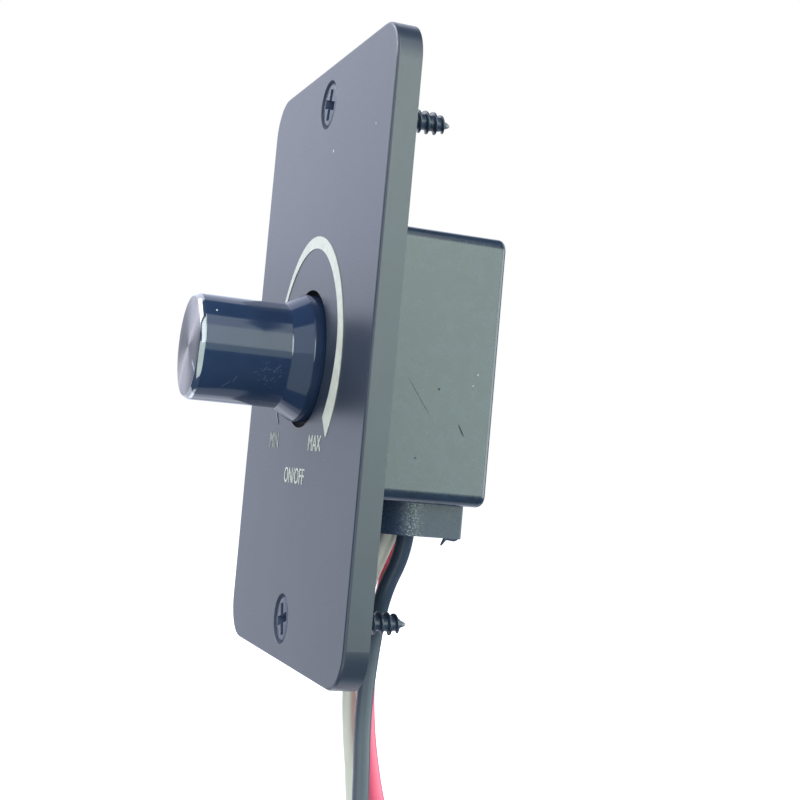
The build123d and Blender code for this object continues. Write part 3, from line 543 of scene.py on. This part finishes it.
driven = add(screw_tree, "ShaderNodeMapRange", {
    "Value": number, "From Min": 0.0, "From Max": 1.0, "To Min": radians(73), "To Max": radians(15)})
turned_to = add(screw_tree, "ShaderNodeCombineXYZ", {"Y": driven.outputs[0]})
both = add(screw_tree, "GeometryNodeInstanceOnPoints", {
    "Points": holes.outputs[0], "Instance": screw.outputs[0], "Rotation": turned_to.outputs[0]})
end_tree(screw_tree, both.outputs[0], given["Finish"])

# %% Grow the screws
screw_mesh = grow("tapping_screws", screw_tree, {
    "Pitch": 1.08 * mm, "Core radius": core_radius * mm, "Crest height": (crest_radius - core_radius) * mm,
    "First crest": 0.52 * mm, "Thread start": 0.6 * mm, "Taper start": 11.3 * mm, "Thread end": 12.8 * mm,
    "Recess span": 4.0 * mm, "Recess width": 1.15 * mm, "Head face": (head_face - 0.02) * mm,
    "Hole spacing": 2 * hole_height * mm, "Finish": screw_finish}, screw_body)
screw_mesh.set_sharp_from_angle(angle=radians(32))
show("tapping_screws", screw_mesh, "mounting_screws")
behind_plate = [v.co for v in screw_mesh.vertices if v.co.y > 1 * mm]
reach = max((place.x ** 2 + (abs(place.z) - hole_height * mm) ** 2) ** 0.5 for place in behind_plate)
print("screw faces:", len(screw_mesh.polygons), "thread radius in mm:", round(reach / mm, 3))

# %% [markdown]
# ## Knob
# The knob is turned from aluminium bar and anodised black, then its front face and chamfer are cut again,
# so they show bright metal. It could be a subdivided cylinder, but a turned shape is one outline swept
# round the axis. Each real edge gets a small round, because a sharp edge catches no light. The UV map runs
# along the outline and round the axis, so that the bright face can stretch its highlight across the tool's
# rings. Scratches are masks in the finish, laid where the real knob has them; the pale lines along the
# flare's corner and the lip are painted highlights, where those edges catch light.

# %% Finishes of the knob
barrel_finish, tree, shader, place = start_finish("turned_black_anodised_aluminium", Specular_IOR_Level=0.45)
# black dye in the oxide skin gives a deep navy black with a clear gloss, handling leaves pale marks, and two
# pale lines on the edges are painted highlights
under = mottle(
    tree, shader, place, "#21304a", "#25344f", patch=3.0, rough=(0.09, 0.13), grain=0.25, relief=0.001)
scratches = [
    ((4.37, -14.42, -4.81), (5.12, -13.33, -4.00)), ((5.05, -13.2, -4.1), (5.64, -12.68, -3.23)),
    ((5.96, -9.88, -2.58), (6.24, -9.29, -1.81)), ((6.12, -8.36, -2.18), (6.32, -7.61, -1.51)),
    ((5.48, -9.54, -3.49), (5.71, -9.27, -3.11)), ((5.74, -7.75, -3.05), (5.9, -7.4, -2.7)),
    ((5.85, -10.9, -2.83), (6.0, -10.4, -2.5)), ((5.6, -8.6, -3.3), (5.75, -8.2, -3.03)),
]
for start, end in scratches:
    facing = (start[0], 0, start[2])
    under = mark(tree, shader, under, streak(tree, place, start, end, facing, 0.09), "#4a5872")
scuffed = streak(tree, place, (5.85, -10.5, -2.75), (5.85, -6.9, -2.75), (5.85, 0, -2.75), 4.2)
scuffs = specks(tree, place, cell=0.3, radius=0.075, share=0.4)
scuff = add(tree, "ShaderNodeMath", {0: scuffed, 1: scuffs}, operation="MULTIPLY")
under = mark(tree, shader, under, scuff.outputs[0], "#4a5872")
# painted highlights: pale lines along the corner where the barrel meets the flare and along the lip
painted_edge_highlights = [
    ((6.02, -6.5, 2.45), (6.49, -6.5, -0.35), "#aab2b8"), ((7.6, -4.15, 2.33), (7.9, -4.15, -0.9), "#717a85"),
]
for start, end, tone in painted_edge_highlights:
    facing = (start[0] + end[0], 0, start[2] + end[2])
    under = mark(tree, shader, under, streak(tree, place, start, end, facing, 0.17), tone)
speck = streak(tree, place, (4.92, -15.9, 4.25), (4.96, -15.7, 4.21), (4.94, 0, 4.23), 0.26)
under = mark(tree, shader, under, speck, "#f2f4f8")

face_finish, tree, shader, place = start_finish("spun_bright_aluminium", Metallic=1.0, Anisotropic=0.9)
# the last cut leaves rings too fine to see, which draw light out into a streak; one nick shows below
under = mottle(
    tree, shader, place, "#888588", "#939092", patch=2.0, rough=(0.34, 0.37), grain=0.15, relief=0.001)
ring_tangent = add(tree, "ShaderNodeTangent", direction_type="UV_MAP", uv_map="turning")
tree.links.new(ring_tangent.outputs[0], shader.inputs["Tangent"])
nick = streak(tree, place, (2.7, -17.8, -1.8), (5.2, -17.8, -3.4), (0, -1, 0), 0.55)
mark(tree, shader, under, nick, "#ffffff")
gloss_mark(tree, shader, nick, 0.6)

chamfer_finish, tree, shader, place = start_finish("diamond_cut_aluminium", Metallic=1.0)
# a single cut with a diamond tool is almost a mirror
mottle(tree, shader, place, "#a9abaa", "#bcbebd", patch=2.0, rough=(0.08, 0.14), grain=0.2, relief=0.001)

# %% Turn the knob
knob_front, chamfer_end, knob_rear = -17.8, -17.1, -2.4
barrel_radius, lip_radius = 6.5, 7.95
hollow_radius, bore_radius, hollow_front, bore_front = 6.2735, 4.77, -4.6, -15.6
knob_profile = [
    (0, knob_front), (1.5, knob_front), (3.0, knob_front), (4.5, knob_front), (6.1, knob_front),
    (6.15, -17.77), (6.485, -17.17), (barrel_radius, chamfer_end),
    (barrel_radius, -14.0), (barrel_radius, -10.0), (barrel_radius, -6.58), (6.52, -6.5), (6.56, -6.43),
    (7.9, -4.24), (7.94, -4.15), (lip_radius, -4.05), (lip_radius, -3.95), (lip_radius, -2.6),
    (7.93, -2.5), (7.8, knob_rear), (hollow_radius, knob_rear), (hollow_radius, hollow_front),
    (bore_radius, hollow_front), (bore_radius, bore_front), (0, bore_front),
]
knob_mesh = turn("turned_knob", knob_profile, 160)
for finish in (barrel_finish, face_finish, chamfer_finish):
    knob_mesh.materials.append(finish)
for face in knob_mesh.polygons:
    face.use_smooth = True
    if face.center.y < (knob_front + 0.01) * mm:
        face.material_index = 1
    elif face.center.y < (chamfer_end - 0.02) * mm:
        face.material_index = 2
knob_mesh.set_sharp_from_angle(angle=radians(35))
show("turned_knob", knob_mesh, "knob", body="knob")
print("knob faces:", len(knob_mesh.polygons))

# %% [markdown]
# ## Lettering
# The dial's words are screen printed in the same white ink as the arc: plain capitals, about 2 mm high.
# Text objects give clean letters with a little thickness, which are made into meshes, because the part is a
# set of plain meshes, and then scaled and laid on the plate's front face.

# %% Ink finish
ink_finish, tree, shader, place = start_finish("screen_printed_white_ink")
# ink pressed through a mesh dries to a satin, slightly uneven film, and by MIN it is too thin to cover
under = mottle(
    tree, shader, place, "#c2c3b7", "#d4d5c8", patch=1.2, rough=(0.30, 0.38), grain=0.2, relief=0.004)
across = add(tree, "ShaderNodeSeparateXYZ", {0: place}).outputs
thinnest = add(tree, "ShaderNodeMapRange", {
    "Value": across["Z"], "From Min": -9.2 * mm, "From Max": -8.8 * mm, "To Min": 0.42, "To Max": 0.72})
thin_side = add(tree, "ShaderNodeMapRange", {
    "Value": across["X"], "From Min": -8.5 * mm, "From Max": -6.5 * mm,
    "To Min": thinnest.outputs[0], "To Max": 0.0})
thin_end = add(tree, "ShaderNodeMapRange", {
    "Value": across["Z"], "From Min": -3.5 * mm, "From Max": 1.0 * mm, "To Min": 1.0, "To Max": 0.0})
thin = add(tree, "ShaderNodeMath", {0: thin_side.outputs[0], 1: thin_end.outputs[0]}, operation="MULTIPLY")
mark(tree, shader, under, thin.outputs[0], "#2b3340")

# %% Print the words
words = {
    "MIN": (-12.8, -8.8, -11.3, -9.3), "MAX": (4.9, 10.0, -11.4, -9.5), "ON/OFF": (-4.4, 4.3, -15.6, -13.65),
}
plate_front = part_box("faceplate")[0].y
ink_film = 0.06 * mm
for word, (left, right, low, high) in words.items():
    text = bpy.data.curves.new(word, "FONT")
    text.body = word
    text.resolution_u = 4
    text.extrude = 0.5
    holder = bpy.data.objects.new(word, text)
    scene.collection.objects.link(holder)
    mesh = plain_mesh(holder)
    xs = [v.co.x for v in mesh.vertices]
    ys = [v.co.y for v in mesh.vertices]
    for vertex in mesh.vertices:
        x = left + (right - left) * (vertex.co.x - min(xs)) / (max(xs) - min(xs))
        z = low + (high - low) * (vertex.co.y - min(ys)) / (max(ys) - min(ys))
        vertex.co = (x * mm, plate_front - ink_film * (vertex.co.z + 0.3), z * mm)
    for face in mesh.polygons:
        face.use_smooth = False
    name = "print_" + word.replace("/", "_").lower()
    mesh.name = name
    mesh.materials.append(ink_finish)
    show(name, mesh)
    print(name, "faces:", len(mesh.polygons))

# %% [markdown]
# ## Plate, box and outlet
# The plate is bead blasted, then anodised black: a satin skin with no direction. The box and the outlet
# block are moulded in ABS; the outlet's copy of the finish is darker and bluer, as painted shade under the
# box. The box is scratched and specked, the outlet block has mould dust by the plate, and the walls of the
# screw holes carry painted shade. Such marks could be painted on an image, but masks from Object
# coordinates stay at their real size: each lays a second colour over the first, and where the mark is dull
# it changes the roughness too.

# %% Plate finish
plate_finish, tree, shader, place = start_finish(
    "bead_blasted_black_anodised_aluminium", Specular_IOR_Level=0.85)
# blasting gives a fine even grain, about 0.05 mm, drawn at 0.3 mm so that it shows; the countersink walls
# get painted shade, a dull blue grey with no sheen
under = mottle(
    tree, shader, place, "#272e3a", "#2b3340", patch=6.0, rough=(0.30, 0.36), grain=0.3, relief=0.006)
dust = specks(tree, place, cell=3.5, radius=0.1, share=0.4)
under = mark(tree, shader, under, dust, "#6a717d")
for x, z, tone in ((3.98, 25.69, "#c9ced8"), (19.7, 26.0, "#7f8692")):
    lint = streak(tree, place, (x - 0.22, -3.0, z), (x + 0.22, -3.0, z), (0, -1, 0), 0.4)
    under = mark(tree, shader, under, lint, tone)
# painted shade on the countersink walls round each screw head
spot = add(tree, "ShaderNodeSeparateXYZ", {0: place}).outputs
height = add(tree, "ShaderNodeMath", {0: spot["Z"]}, operation="ABSOLUTE")
off_hole = add(tree, "ShaderNodeMath", {0: height.outputs[0], 1: hole_height * mm}, operation="SUBTRACT")
from_hole = add(tree, "ShaderNodeCombineXYZ", {"X": spot["X"], "Y": off_hole.outputs[0]})
from_axis = add(tree, "ShaderNodeVectorMath", {0: from_hole.outputs[0]}, operation="LENGTH")
near_hole = add(tree, "ShaderNodeMath", {0: from_axis.outputs["Value"], 1: 3.6 * mm}, operation="LESS_THAN")
sunk = add(tree, "ShaderNodeMapRange", {"Value": spot["Y"], "From Min": -2.99 * mm, "From Max": -2.93 * mm})
in_front = add(tree, "ShaderNodeMath", {0: spot["Y"], 1: -0.8 * mm}, operation="LESS_THAN")
wall = add(tree, "ShaderNodeMath", {0: sunk.outputs[0], 1: in_front.outputs[0]}, operation="MULTIPLY")
hole_wall_shade = add(tree, "ShaderNodeMath", {0: near_hole.outputs[0], 1: wall.outputs[0]}, operation="MULTIPLY")
mark(tree, shader, under, hole_wall_shade.outputs[0], "#283246")
gloss_mark(tree, shader, hole_wall_shade.outputs[0], 0.9)

# %% Moulded finishes
box_finish, tree, shader, place = start_finish("moulded_abs_black", IOR=1.53, Specular_IOR_Level=0.9)
# a fine-etched mould leaves an even satin skin that goes grey where it mirrors light, with a few scratches
under = mottle(
    tree, shader, place, "#1b2735", "#233040", patch=1.5, rough=(0.22, 0.27), grain=0.35, relief=0.0008)
box_side = 12.5
box_marks = [
    ((6.09, -1.44), (9.63, -6.24), 0.10, "#2f3636"), ((13.18, -6.62), (14.11, -8.23), 0.22, "#14181a"),
    ((10.2, -2.55), (10.45, -2.85), 0.30, "#23292b"), ((7.95, -11.1), (8.15, -11.25), 0.30, "#14181a"),
    ((15.2, -0.4), (15.3, -0.55), 0.28, "#a9b4b2"), ((14.65, -1.8), (14.8, -1.95), 0.28, "#98a3a1"),
]
for (y0, z0), (y1, z1), width, tone in box_marks:
    scratch = streak(tree, place, (box_side, y0, z0), (box_side, y1, z1), (1, 0, 0), width)
    under = mark(tree, shader, under, scratch, tone)
    gloss_mark(tree, shader, scratch, 0.85)

shaded_outlet_finish, tree, shader, place = start_finish("moulded_abs_black_dusty_painted_shade", IOR=1.53, Specular_IOR_Level=0.6)
# the same moulding, darker and bluer as painted shade under the box, with mould dust left where its round
# front turns away
under = mottle(
    tree, shader, place, "#16253e", "#1c2c47", patch=2.0, rough=(0.24, 0.32), grain=0.35, relief=0.002)
dust = specks(tree, place, cell=0.22, radius=0.08, share=0.6)
depth = add(tree, "ShaderNodeSeparateXYZ", {0: place}).outputs["Y"]
beside = add(tree, "ShaderNodeMath", {0: depth, 1: 10.1 * mm}, operation="SUBTRACT")
away = add(tree, "ShaderNodeMath", {0: beside.outputs[0]}, operation="ABSOLUTE")
nearness = add(tree, "ShaderNodeMapRange", {
    "Value": away.outputs[0], "From Min": 0.4 * mm, "From Max": 2.0 * mm, "To Min": 0.75, "To Max": 0.0})
near_dust = add(tree, "ShaderNodeMath", {0: dust, 1: nearness.outputs[0]}, operation="MULTIPLY")
mark(tree, shader, under, near_dust.outputs[0], "#8c9a9c")

# %% [markdown]
# ## The pieces inside
# Behind the plate are the control, the switch and the board. They keep their CAD shapes. Each gets the
# finish of its real material, so that the model is right when it is opened up. They share one small
# function, because they differ only in colours, gloss and grain.

# %% Finishes of the inner pieces
def inner_finish(name, deep, pale, rough, grain, **constants):
    finish, tree, shader, place = start_finish(name, **constants)
    mottle(tree, shader, place, deep, pale, patch=2.0, rough=rough, grain=grain, relief=0.01)
    return finish


finish_of_slot = {
    "black_anodised": plate_finish,
    "white_print": ink_finish,
    "black_screw": screw_finish,
    "knob_anodised": barrel_finish,
    "black_moulding": box_finish,
    # glass-filled nylon: matt, with a fine fibre grain
    "carrier_moulding": inner_finish("moulded_nylon_black", "#121416", "#1b1e20", (0.5, 0.62), 0.4, IOR=1.53),
    # nickel plating over steel: warm grey with a soft gleam
    "nickel_steel": inner_finish(
        "nickel_plated_steel", "#a9a59c", "#c2beb4", (0.22, 0.34), 0.3, Metallic=1.0),
    # turned brass: yellow, with dull patches of tarnish
    "bush_brass": inner_finish("turned_brass", "#b08d4a", "#cdab63", (0.25, 0.38), 0.25, Metallic=1.0),
    # PBT moulding of the control: grey black and slightly waxy
    "control_moulding": inner_finish(
        "moulded_pbt_grey_black", "#1d1f22", "#272a2d", (0.4, 0.5), 0.3, IOR=1.55),
    # paper laminate: tan with flecks of fibre
    "phenolic": inner_finish("paper_phenolic_laminate", "#8a5a30", "#a87443", (0.45, 0.6), 0.5, IOR=1.6),
    # spring bronze strip: reddish gold
    "bronze": inner_finish("rolled_phosphor_bronze", "#b9814f", "#d09a66", (0.24, 0.36), 0.2, Metallic=1.0),
    # tin plating: pale grey, matt where it was dipped
    "tinned_brass": inner_finish("tinned_brass", "#bcbab4", "#d8d6d0", (0.28, 0.42), 0.2, Metallic=1.0),
    # music wire: blue grey and bright
    "spring_steel": inner_finish("drawn_music_wire", "#85888c", "#a3a6aa", (0.2, 0.3), 0.15, Metallic=1.0),
    # glass epoxy board under solder mask: green, slightly glossy, with the weave showing faintly
    "board_laminate": inner_finish(
        "solder_masked_glass_epoxy", "#12502c", "#1a6638", (0.25, 0.38), 0.5, IOR=1.55),
    # epoxy packages: charcoal, matt and gritty
    "component_moulding": inner_finish(
        "moulded_epoxy_package", "#17181a", "#232527", (0.5, 0.65), 0.15, IOR=1.55),
    # printed sleeve on an aluminium can: dark blue plastic film
    "capacitor_can": inner_finish("shrunk_pet_sleeve", "#1b2440", "#263258", (0.25, 0.35), 0.4, IOR=1.57),
    # reflowed solder: bright grey, slightly wrinkled
    "solder": inner_finish("reflowed_solder", "#b3b5b8", "#d0d2d4", (0.2, 0.34), 0.25, Metallic=1.0),
    "black_insulation": sleeve_finishes["black_lead"],
    "red_insulation": sleeve_finishes["red_lead"],
    "white_insulation": sleeve_finishes["white_lead"],
    "tinned_copper": strand_finish,
}
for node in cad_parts.values():
    node.material_slots[0].material = finish_of_slot[node.material_slots[0].material.name]
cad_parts["wire_outlet"].material_slots[0].material = shaded_outlet_finish
print("nodes with a finish:", len(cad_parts))

# %% [markdown]
# ## Return spring
# A coil spring of music wire pushes the switch back. Its CAD solid can't shorten, so it is drawn again. A
# spring is a helix, which one spiral node gives, and its wire is a circle swept along it.

# %% A tree for the coil spring
spring_tree, given = start_tree("coil_spring", {
    "Coil radius": "Float", "Wire radius": "Float", "Coils": "Float", "Length": "Float", "Rear": "Float",
    "Finish": "Material"})
coil = add(spring_tree, "GeometryNodeCurveSpiral", {
    "Resolution": 40, "Rotations": given["Coils"], "Start Radius": given["Coil radius"],
    "End Radius": given["Coil radius"], "Height": given["Length"], "Reverse": True})
round_wire = add(spring_tree, "GeometryNodeCurvePrimitiveCircle", {
    "Resolution": 12, "Radius": given["Wire radius"]})
wire = add(spring_tree, "GeometryNodeCurveToMesh", {
    "Curve": coil.outputs[0], "Profile Curve": round_wire.outputs[0], "Fill Caps": True})
seat = add(spring_tree, "ShaderNodeCombineXYZ", {"Y": given["Rear"]})
laid = add(spring_tree, "GeometryNodeTransform", {
    "Geometry": wire.outputs[0], "Translation": seat.outputs[0], "Rotation": (pi / 2, 0, 0)})
end_tree(spring_tree, laid.outputs[0], given["Finish"])

# %% Grow the spring
spring_low, spring_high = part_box("return_spring")
wire_radius = 0.225 * mm
coil_pitch = 1.0 * mm
spring_rear = spring_high.y - wire_radius
spring_length = spring_rear - spring_low.y - wire_radius
spring_mesh = grow("coil_spring", spring_tree, {
    "Coil radius": 2.6 * mm, "Wire radius": wire_radius, "Coils": spring_length / coil_pitch,
    "Length": spring_length, "Rear": spring_rear, "Finish": finish_of_slot["spring_steel"]})
spring = bpy.data.objects.new("coil_spring", spring_mesh)
scene.collection.objects.link(spring)
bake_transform(spring)
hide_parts("return_spring")
print("spring faces:", len(spring_mesh.polygons), "length in mm:", round(spring_length / mm, 2))

# %% [markdown]
# ## Flash on the outlet block
# The outlet block came out of its mould with a curl of flash at its lower rear corner. It could be
# sculpted, but it is only a small tapering tongue, so the round curve of the leads, with a share of the
# radius at each point, is enough.

# %% Draw the flash
flash_radius = 0.26 * mm
flash_route = [
    (7.6, 16.6, -20.35, 0.7), (7.65, 16.2, -20.75, 1.0), (7.7, 15.4, -20.7, 0.9), (7.75, 14.8, -20.6, 0.9),
    (7.75, 14.5, -21.1, 0.7), (7.75, 14.25, -21.55, 0.35),
]
flash_mesh = plain_mesh(draw_round("outlet_flash", flash_route, flash_radius, steps_round=3, steps_along=12))
flash_mesh.materials.append(shaded_outlet_finish)
show("outlet_flash", flash_mesh)
print("flash faces:", len(flash_mesh.polygons))

# %% [markdown]
# ## Stage and light
# The part hangs over a white floor before a white sweep. Black gloss shows hardly any colour of its own,
# only what it mirrors, so each light stands where a surface needs something to mirror: soft boxes and
# panels on the right for the knob, the box and the plate's side, panels behind and below for the edges that
# turn away, and two pale sheets on the left for the plate's front. The world is white to the camera, a soft
# fill to matt surfaces and a dark blue room to mirrors, so that the gaps between the lights stay dark. The
# table's glow lights the leads and isn't mirrored.

# %% World
scene.view_settings.view_transform = "Standard"
world = bpy.data.worlds.new("white_sweep")
world.use_nodes = True
scene.world = world
tree = world.node_tree
tree.nodes.clear()
rays = add(tree, "ShaderNodeLightPath").outputs
room = add(tree, "ShaderNodeBackground", {"Color": linear("#60779e"), "Strength": 0.7})
fill = add(tree, "ShaderNodeBackground", {"Color": linear("#dfe8f8"), "Strength": 0.4})
seen = add(tree, "ShaderNodeBackground", {"Color": (1, 1, 1, 1), "Strength": 1.0})
matt = add(tree, "ShaderNodeMixShader", {0: rays["Is Diffuse Ray"], 1: room.outputs[0], 2: fill.outputs[0]})
both = add(tree, "ShaderNodeMixShader", {0: rays["Is Camera Ray"], 1: matt.outputs[0], 2: seen.outputs[0]})
add(tree, "ShaderNodeOutputWorld", {"Surface": both.outputs[0]})
print(world.name, "nodes:", len(tree.nodes))

# %% Floor
floor_height = -0.1225
floor_mesh = bpy.data.meshes.new("pale_floor")
half = 4.0
floor_mesh.from_pydata([(-half, -half, floor_height), (half, -half, floor_height), (half, half, floor_height),
                        (-half, half, floor_height)], [], [(0, 1, 2, 3)])
floor = bpy.data.objects.new("pale_floor", floor_mesh)
scene.collection.objects.link(floor)
floor_finish, tree, shader, place = start_finish(
    "matt_white_paper", Emission_Color=(1, 1, 1, 1), Emission_Strength=0.8)
# coated paper: white and matt, with a trace of pulp
mottle(tree, shader, place, "#f3f4f5", "#f8f8f9", patch=60.0, rough=(0.8, 0.9), grain=5.0, relief=0.01)
floor_mesh.materials.append(floor_finish)
floor.visible_glossy = False
floor.visible_diffuse = False
floor.visible_shadow = False

# %% Soft lights
def soft_box(name, place, aim, size, radiance, colour, mirrored=True):
    """A soft light at a place in metres, aimed at a point. The camera doesn't see it, but mirrors may."""
    light = bpy.data.lights.new(name, "AREA")
    light.shape = "RECTANGLE"
    light.size, light.size_y = size
    light.energy = radiance * 4 * size[0] * size[1]
    light.color = linear(colour)[:3]
    holder = bpy.data.objects.new(name, light)
    holder.location = place
    holder.rotation_mode = "QUATERNION"
    holder.rotation_quaternion = (Vector(place) - Vector(aim)).to_track_quat("Z", "Y")
    holder.visible_camera = False
    holder.visible_glossy = mirrored
    scene.collection.objects.link(holder)
    print(name, "watts:", round(light.energy, 1))


soft_box("right_soft_box", (0.710, 0.058, 0.369), (0, 0.058, 0), (0.425, 0.582), 3.0, "#f4fff8")
soft_box("right_top_panel", (0.409, 0.058, 0.688), (0, 0.058, 0), (0.425, 0.333), 1.8, "#f2fbff")
soft_box("right_low_panel", (0.800, 0.058, 0.004), (0, 0.058, 0), (0.425, 0.203), 1.2, "#eefff2")
soft_box("right_back_panel", (0.800, 0.56, 0.120), (0, 0.56, 0.120), (0.60, 0.61), 2.5, "#eaffec")
soft_box("back_panel", (0.26, 0.97, 0.07), (0, 0, 0), (0.9, 0.6), 2.6, "#f4fff8")
soft_box("right_front_box", (0.626, -0.85, 0.498), (0, -0.85, 0), (0.9, 0.905), 1.4, "#f4fcff")
soft_box("front_low_panel", (0.544, -0.602, -0.395), (0, 0, 0), (0.9, 1.21), 0.75, "#f0fff6")
soft_box("left_high_sheet", (-0.80, -0.15, 0.835), (0, -0.15, 0.835), (1.5, 1.43), 1.10, "#e6e9f6")
soft_box("left_low_sheet", (-0.80, -0.15, -0.515), (0, -0.15, -0.515), (1.5, 1.27), 0.76, "#e8eaf2")
soft_box("low_left_panel", (-0.45, 0.25, -0.75), (0, 0, 0), (1.2, 0.8), 0.75, "#e6ecf6")
soft_box("table_glow", (0.75, 0.10, -0.55), (0, 0.012, -0.03), (0.6, 0.5), 1.6, "#f6f8f2", mirrored=False)
soft_box("front_fill", (-0.45, -0.85, 0.75), (0, 0, 0), (1.2, 0.9), 3.2, "#f0f2fa")
soft_box("back_fill", (-0.35, 0.85, 0.50), (0, 0, 0), (0.7, 0.5), 1.2, "#f4f6ff")
